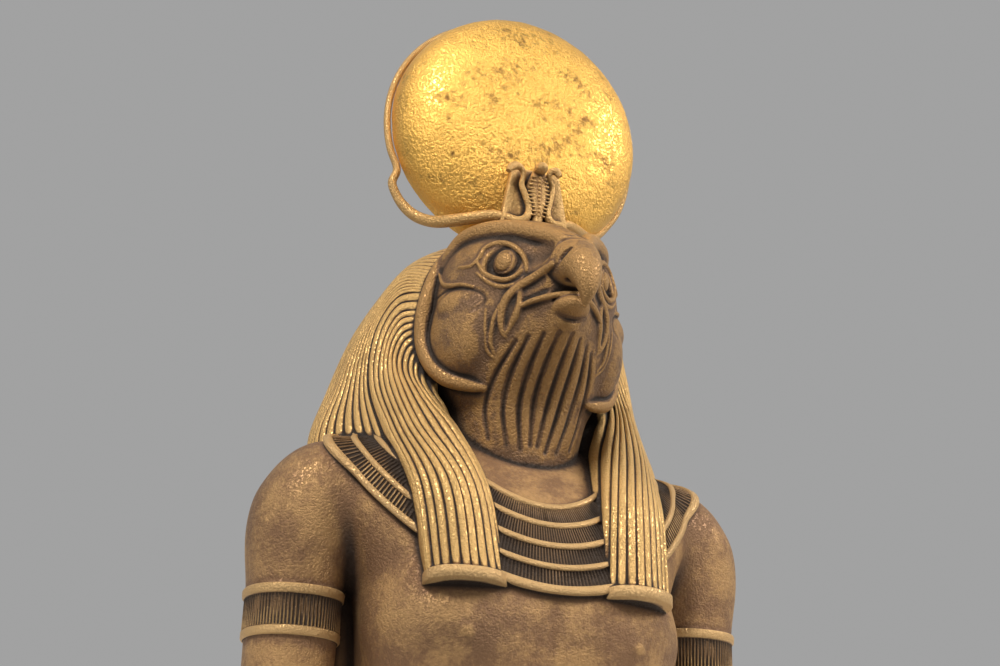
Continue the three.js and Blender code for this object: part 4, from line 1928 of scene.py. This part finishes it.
@dataclass
class UraeusRing:
    """Two serpents round the disc that rear up as cobras, with a third between them."""

    ring_radius: float = 146.5
    ring_centre: Point = (0, 12, 638)
    ring_start: float = 187.0
    ring_end: float = 64.0
    ring_points: int = 14
    line_points: int = 200
    sides: int = 14
    voxel: float = 0.9
    kept: float = 0.4
    scale_levels: Point = (506, 551, 4.4)
    scale_width: float = 1.9
    hollows: tuple[float, int] = (1.1, 2)
    right_serpent: Rows = (
        (-136, 12, 556, 4.8), (-129, 12, 540, 5.2), (-121, 10, 529, 5.8), (-112, 6, 520, 6.2),
        (-102, -1, 513, 6.4),
        (-92, -12, 507.5, 6.6), (-80, -26, 505, 6.8), (-61, -43, 505, 6.6), (-46, -53, 506, 6.4),
        (-38, -58, 505, 6),
        (-30, -64, 502, 5.2), (-20, -69, 498.5, 4.8), (-12, -72, 503, 4.4), (-9, -72, 515, 4),
        (-14, -72, 529, 3.6),
        (-18.5, -72, 540, 3.2), (-17, -73, 551, 3), (-20, -74.5, 557.5, 3.4), (-26.5, -76, 559, 4.4),
        (-33, -78, 555, 4.6), (-36.5, -79, 549, 2.8),
    )
    left_serpent: Rows = (
        (117, 12, 553, 5), (103, 4, 538, 5.4), (83, -16, 524, 5.8), (59, -43, 515, 6),
        (47, -52, 513, 6),
        (39, -57, 511, 5.6), (27, -64, 505, 5.2), (19, -69, 503, 4.8), (12.5, -71.5, 508, 4.2),
        (12, -72, 517, 3.8),
        (16, -72, 534, 3.4), (16.5, -72, 546, 3), (12, -73, 555, 2.8), (14, -75, 561, 3.6),
        (19, -77.5, 561, 4.4),
        (22, -79, 555, 3),
    )
    hood: Rows = (
        (488, 0, 5, -75, -60, 2), (500, 0, 6.5, -76, -60, 2), (512, 0, 9.5, -77, -60, 2.2),
        (526, 0, 12.8, -77, -60, 2.3), (540, 0, 12.6, -77, -60, 2.3), (552, 0, 8.5, -78, -62, 2.2),
        (560, 0, 6, -79, -66, 2),
    )
    snout: Ellipsoid = field(default_factory=lambda: Ellipsoid((0, -80, 559), (7, 10, 6.5)))
    plate: Rows = (
        (490, 0, 38, -67, -57, 9), (500, 0, 38, -67, -57, 9), (558, 0, 28, -67, -57, 9),
        (563, 0, 27, -66, -58, 9),
    )

    def line(self, body: Rows, side: int) -> Array:
        """Points with radii along one serpent, from the top of the disc to its snout.

        Args:
            body: The serpent's own rows, below the ring.
            side: 1 for the figure's left, -1 for its right.

        Returns:
            Rows of x, y, z and radius.
        """
        turns = np.radians(np.linspace(self.ring_start, self.ring_end, self.ring_points))
        x, y, z = self.ring_centre
        girths = np.interp(turns, np.radians((60, 90, 130, 187)), (4.4, 3.9, 3.9, 4.2))
        across, up = side * self.ring_radius * np.sin(turns), -self.ring_radius * np.cos(turns)
        ring = np.column_stack([x + across, np.full(self.ring_points, y), z + up, girths])
        return smooth_path(np.concatenate([ring, np.array(body, float)]), self.line_points)

    def serpent(
        self, rods: Workshop, gold: bpy.types.Material, body: Rows, side: int
    ) -> bpy.types.Object:
        """Makes one serpent.

        Args:
            rods: The tree that makes a rod of a line.
            gold: Its finish.
            body: The serpent's own rows, below the ring.
            side: 1 for the figure's left, -1 for its right.

        Returns:
            The serpent.
        """
        line = self.line(body, side)
        edges = np.stack([np.arange(len(line) - 1), np.arange(1, len(line))], axis=1)
        mesh = bpy.data.meshes.new("serpent")
        mesh.from_pydata((line[:, :3] * MM).tolist(), edges.tolist(), [])
        serpent = bpy.data.objects.new("serpent", mesh)
        bpy.context.scene.collection.objects.link(serpent)
        set_values(serpent, "girth", line[:, 3] * MM)
        return rods.run(serpent, gold, {"Sides": self.sides})

    def cobra(self) -> bpy.types.Object:
        """Makes the middle cobra and the plate behind it.

        Returns:
            The cobra with its plate.
        """
        clay = Clay((0, -94, 484), (42, -52, 572), self.voxel)
        clay.add(UprightForm(self.plate))
        clay.add(UprightForm(self.hood), 1)
        clay.add(self.snout, 2)
        points, faces = clay.skin()
        return thinned(make_mesh("cobra", points, faces), self.kept)

    def build(self, rods: Workshop, details: Details) -> bpy.types.Object:
        """Makes the ring and its cobras.

        Args:
            rods: The tree that makes a rod of a line.
            details: The tree that lays the scales.

        Returns:
            The serpents with their ring.
        """
        gold = RING_GOLD.material()
        ring = self.serpent(rods, gold, self.left_serpent, 1)
        for part in (self.serpent(rods, gold, self.right_serpent, -1), self.cobra()):
            part.data.materials.clear()
            part.data.materials.append(gold)
            combined(ring, part, "UNION")
        levels = np.arange(*self.scale_levels)
        half, front = values_at(self.hood, levels)[:, 1:3].T
        for side in (-1, 0, 1):
            across = side * (half * 0.5 + 1.5)
            middles = np.column_stack([across, front + 0.4 + 0.7 * abs(side), levels])
            lie = np.tile((1.0, 0.0, 0.0), (len(levels), 1))
            out = np.tile((0.0, -1.0, 0.0), (len(levels), 1))
            reach = np.maximum(half * 0.75 - 2.0, 2.0) if side else np.full(len(levels), self.scale_width)
            piece = rib_bar() if side else bead()
            laid = details.lay(piece, (middles, lie, out, reach), self.scale_width, gold)
            combined(ring, laid, "UNION")
        ring.name = "uraeus_serpents"
        mark_hollows(ring, "hollow", *self.hollows)
        return ring


# The studio


@dataclass
class Lamp:
    """A soft square lamp aimed at the bust."""

    name: str
    place: Point
    power: float
    size: float
    colour: Colour = (1.0, 0.95, 0.88)
    aim: Point = (0, -0.05, 0.4)

    def build(self) -> None:
        """Hangs the lamp."""
        data = bpy.data.lights.new(self.name, "AREA")
        data.energy = self.power
        data.size = self.size
        data.color = self.colour
        lamp = bpy.data.objects.new(self.name, data)
        lamp.location = self.place
        way = Vector(self.aim) - Vector(self.place)
        lamp.rotation_euler = way.to_track_quat("-Z", "Y").to_euler()
        bpy.context.scene.collection.objects.link(lamp)


@dataclass
class Studio:
    """Pale floor, soft lamps and the photograph's camera."""

    camera_place: Point = (-0.5404, -1.3832, -0.2000)
    camera_way: Point = (0.33227, 0.86560, 0.37461)
    camera_roll: float = 2.0
    lens: float = 54.0
    world: Colour = (0.36, 0.36, 0.36)
    lamps: Sequence[Lamp] = (
        Lamp("left lamp", (-1.3, -1.3, 2.1), 62, 0.7),
        Lamp("right lamp", (1.9, -1.0, 1.7), 40, 0.7),
    )
    floor_front: float = -172.0
    floor_back: float = 3600.0
    floor_half_width: float = 2600.0
    floor_depth: float = 14.0

    def floor(self) -> None:
        """Lays the floor, whose front edge is square to the camera and below the photograph's view."""
        way = np.array(self.camera_way[:2]) / math.hypot(*self.camera_way[:2])
        right = np.array((way[1], -way[0]))
        corners = [
            (*(along * way + across * right), height)
            for along in (self.floor_front, self.floor_back)
            for across in (-self.floor_half_width, self.floor_half_width)
            for height in (-self.floor_depth, 0.0)
        ]
        floor = closed_piece("pale_floor", np.array(corners), BOX_FACES)
        floor.data.materials.append(FLOOR_PAINT.material())

    def camera(self) -> None:
        """Sets the camera where the photograph was taken from."""
        way = Vector(self.camera_way).normalized()
        right = way.cross(Vector((0, 0, 1))).normalized()
        up = right.cross(way)
        c, s = math.cos(math.radians(self.camera_roll)), math.sin(math.radians(self.camera_roll))
        turned_right, turned_up = right * c + up * s, up * c - right * s
        data = bpy.data.cameras.new("camera")
        data.lens = self.lens
        camera = bpy.data.objects.new("camera", data)
        turn = Matrix((turned_right, turned_up, -way)).transposed().to_4x4()
        camera.matrix_world = Matrix.Translation(self.camera_place) @ turn
        bpy.context.scene.collection.objects.link(camera)
        bpy.context.scene.camera = camera

    def light(self) -> None:
        """Hangs the lamps and sets the even light around."""
        for lamp in self.lamps:
            lamp.build()
        world = bpy.data.worlds.new("studio")
        world.use_nodes = True
        background = world.node_tree.nodes["Background"]
        background.inputs["Color"].default_value = (*self.world, 1)
        bpy.context.scene.world = world
        bpy.context.scene.view_settings.view_transform = "Standard"

    def build(self) -> None:
        """Sets up the whole studio."""
        self.floor()
        self.camera()
        self.light()


def main() -> None:
    """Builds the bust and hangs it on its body."""
    logging.basicConfig(level=logging.INFO, format="%(name)s: %(message)s")
    details = Details(laying_tree())
    pieces = {
        "figure": (Figure(Wardrobe(), details, combing_tree()).build(), "gilt_bronze"),
        "sun_disc": (SunDisc().build(hammering_tree()), "disc_gold"),
        "uraeus_ring": (UraeusRing().build(rod_tree(), details), "old_gold"),
    }
    for node, (piece, slot) in pieces.items():
        piece.data.calc_loop_triangles()
        LOG.info("%s: %d triangles", piece.name, len(piece.data.loop_triangles))
        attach(piece, "root")
        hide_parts(node)
    Studio().build()


if __name__ == "__main__":
    main()
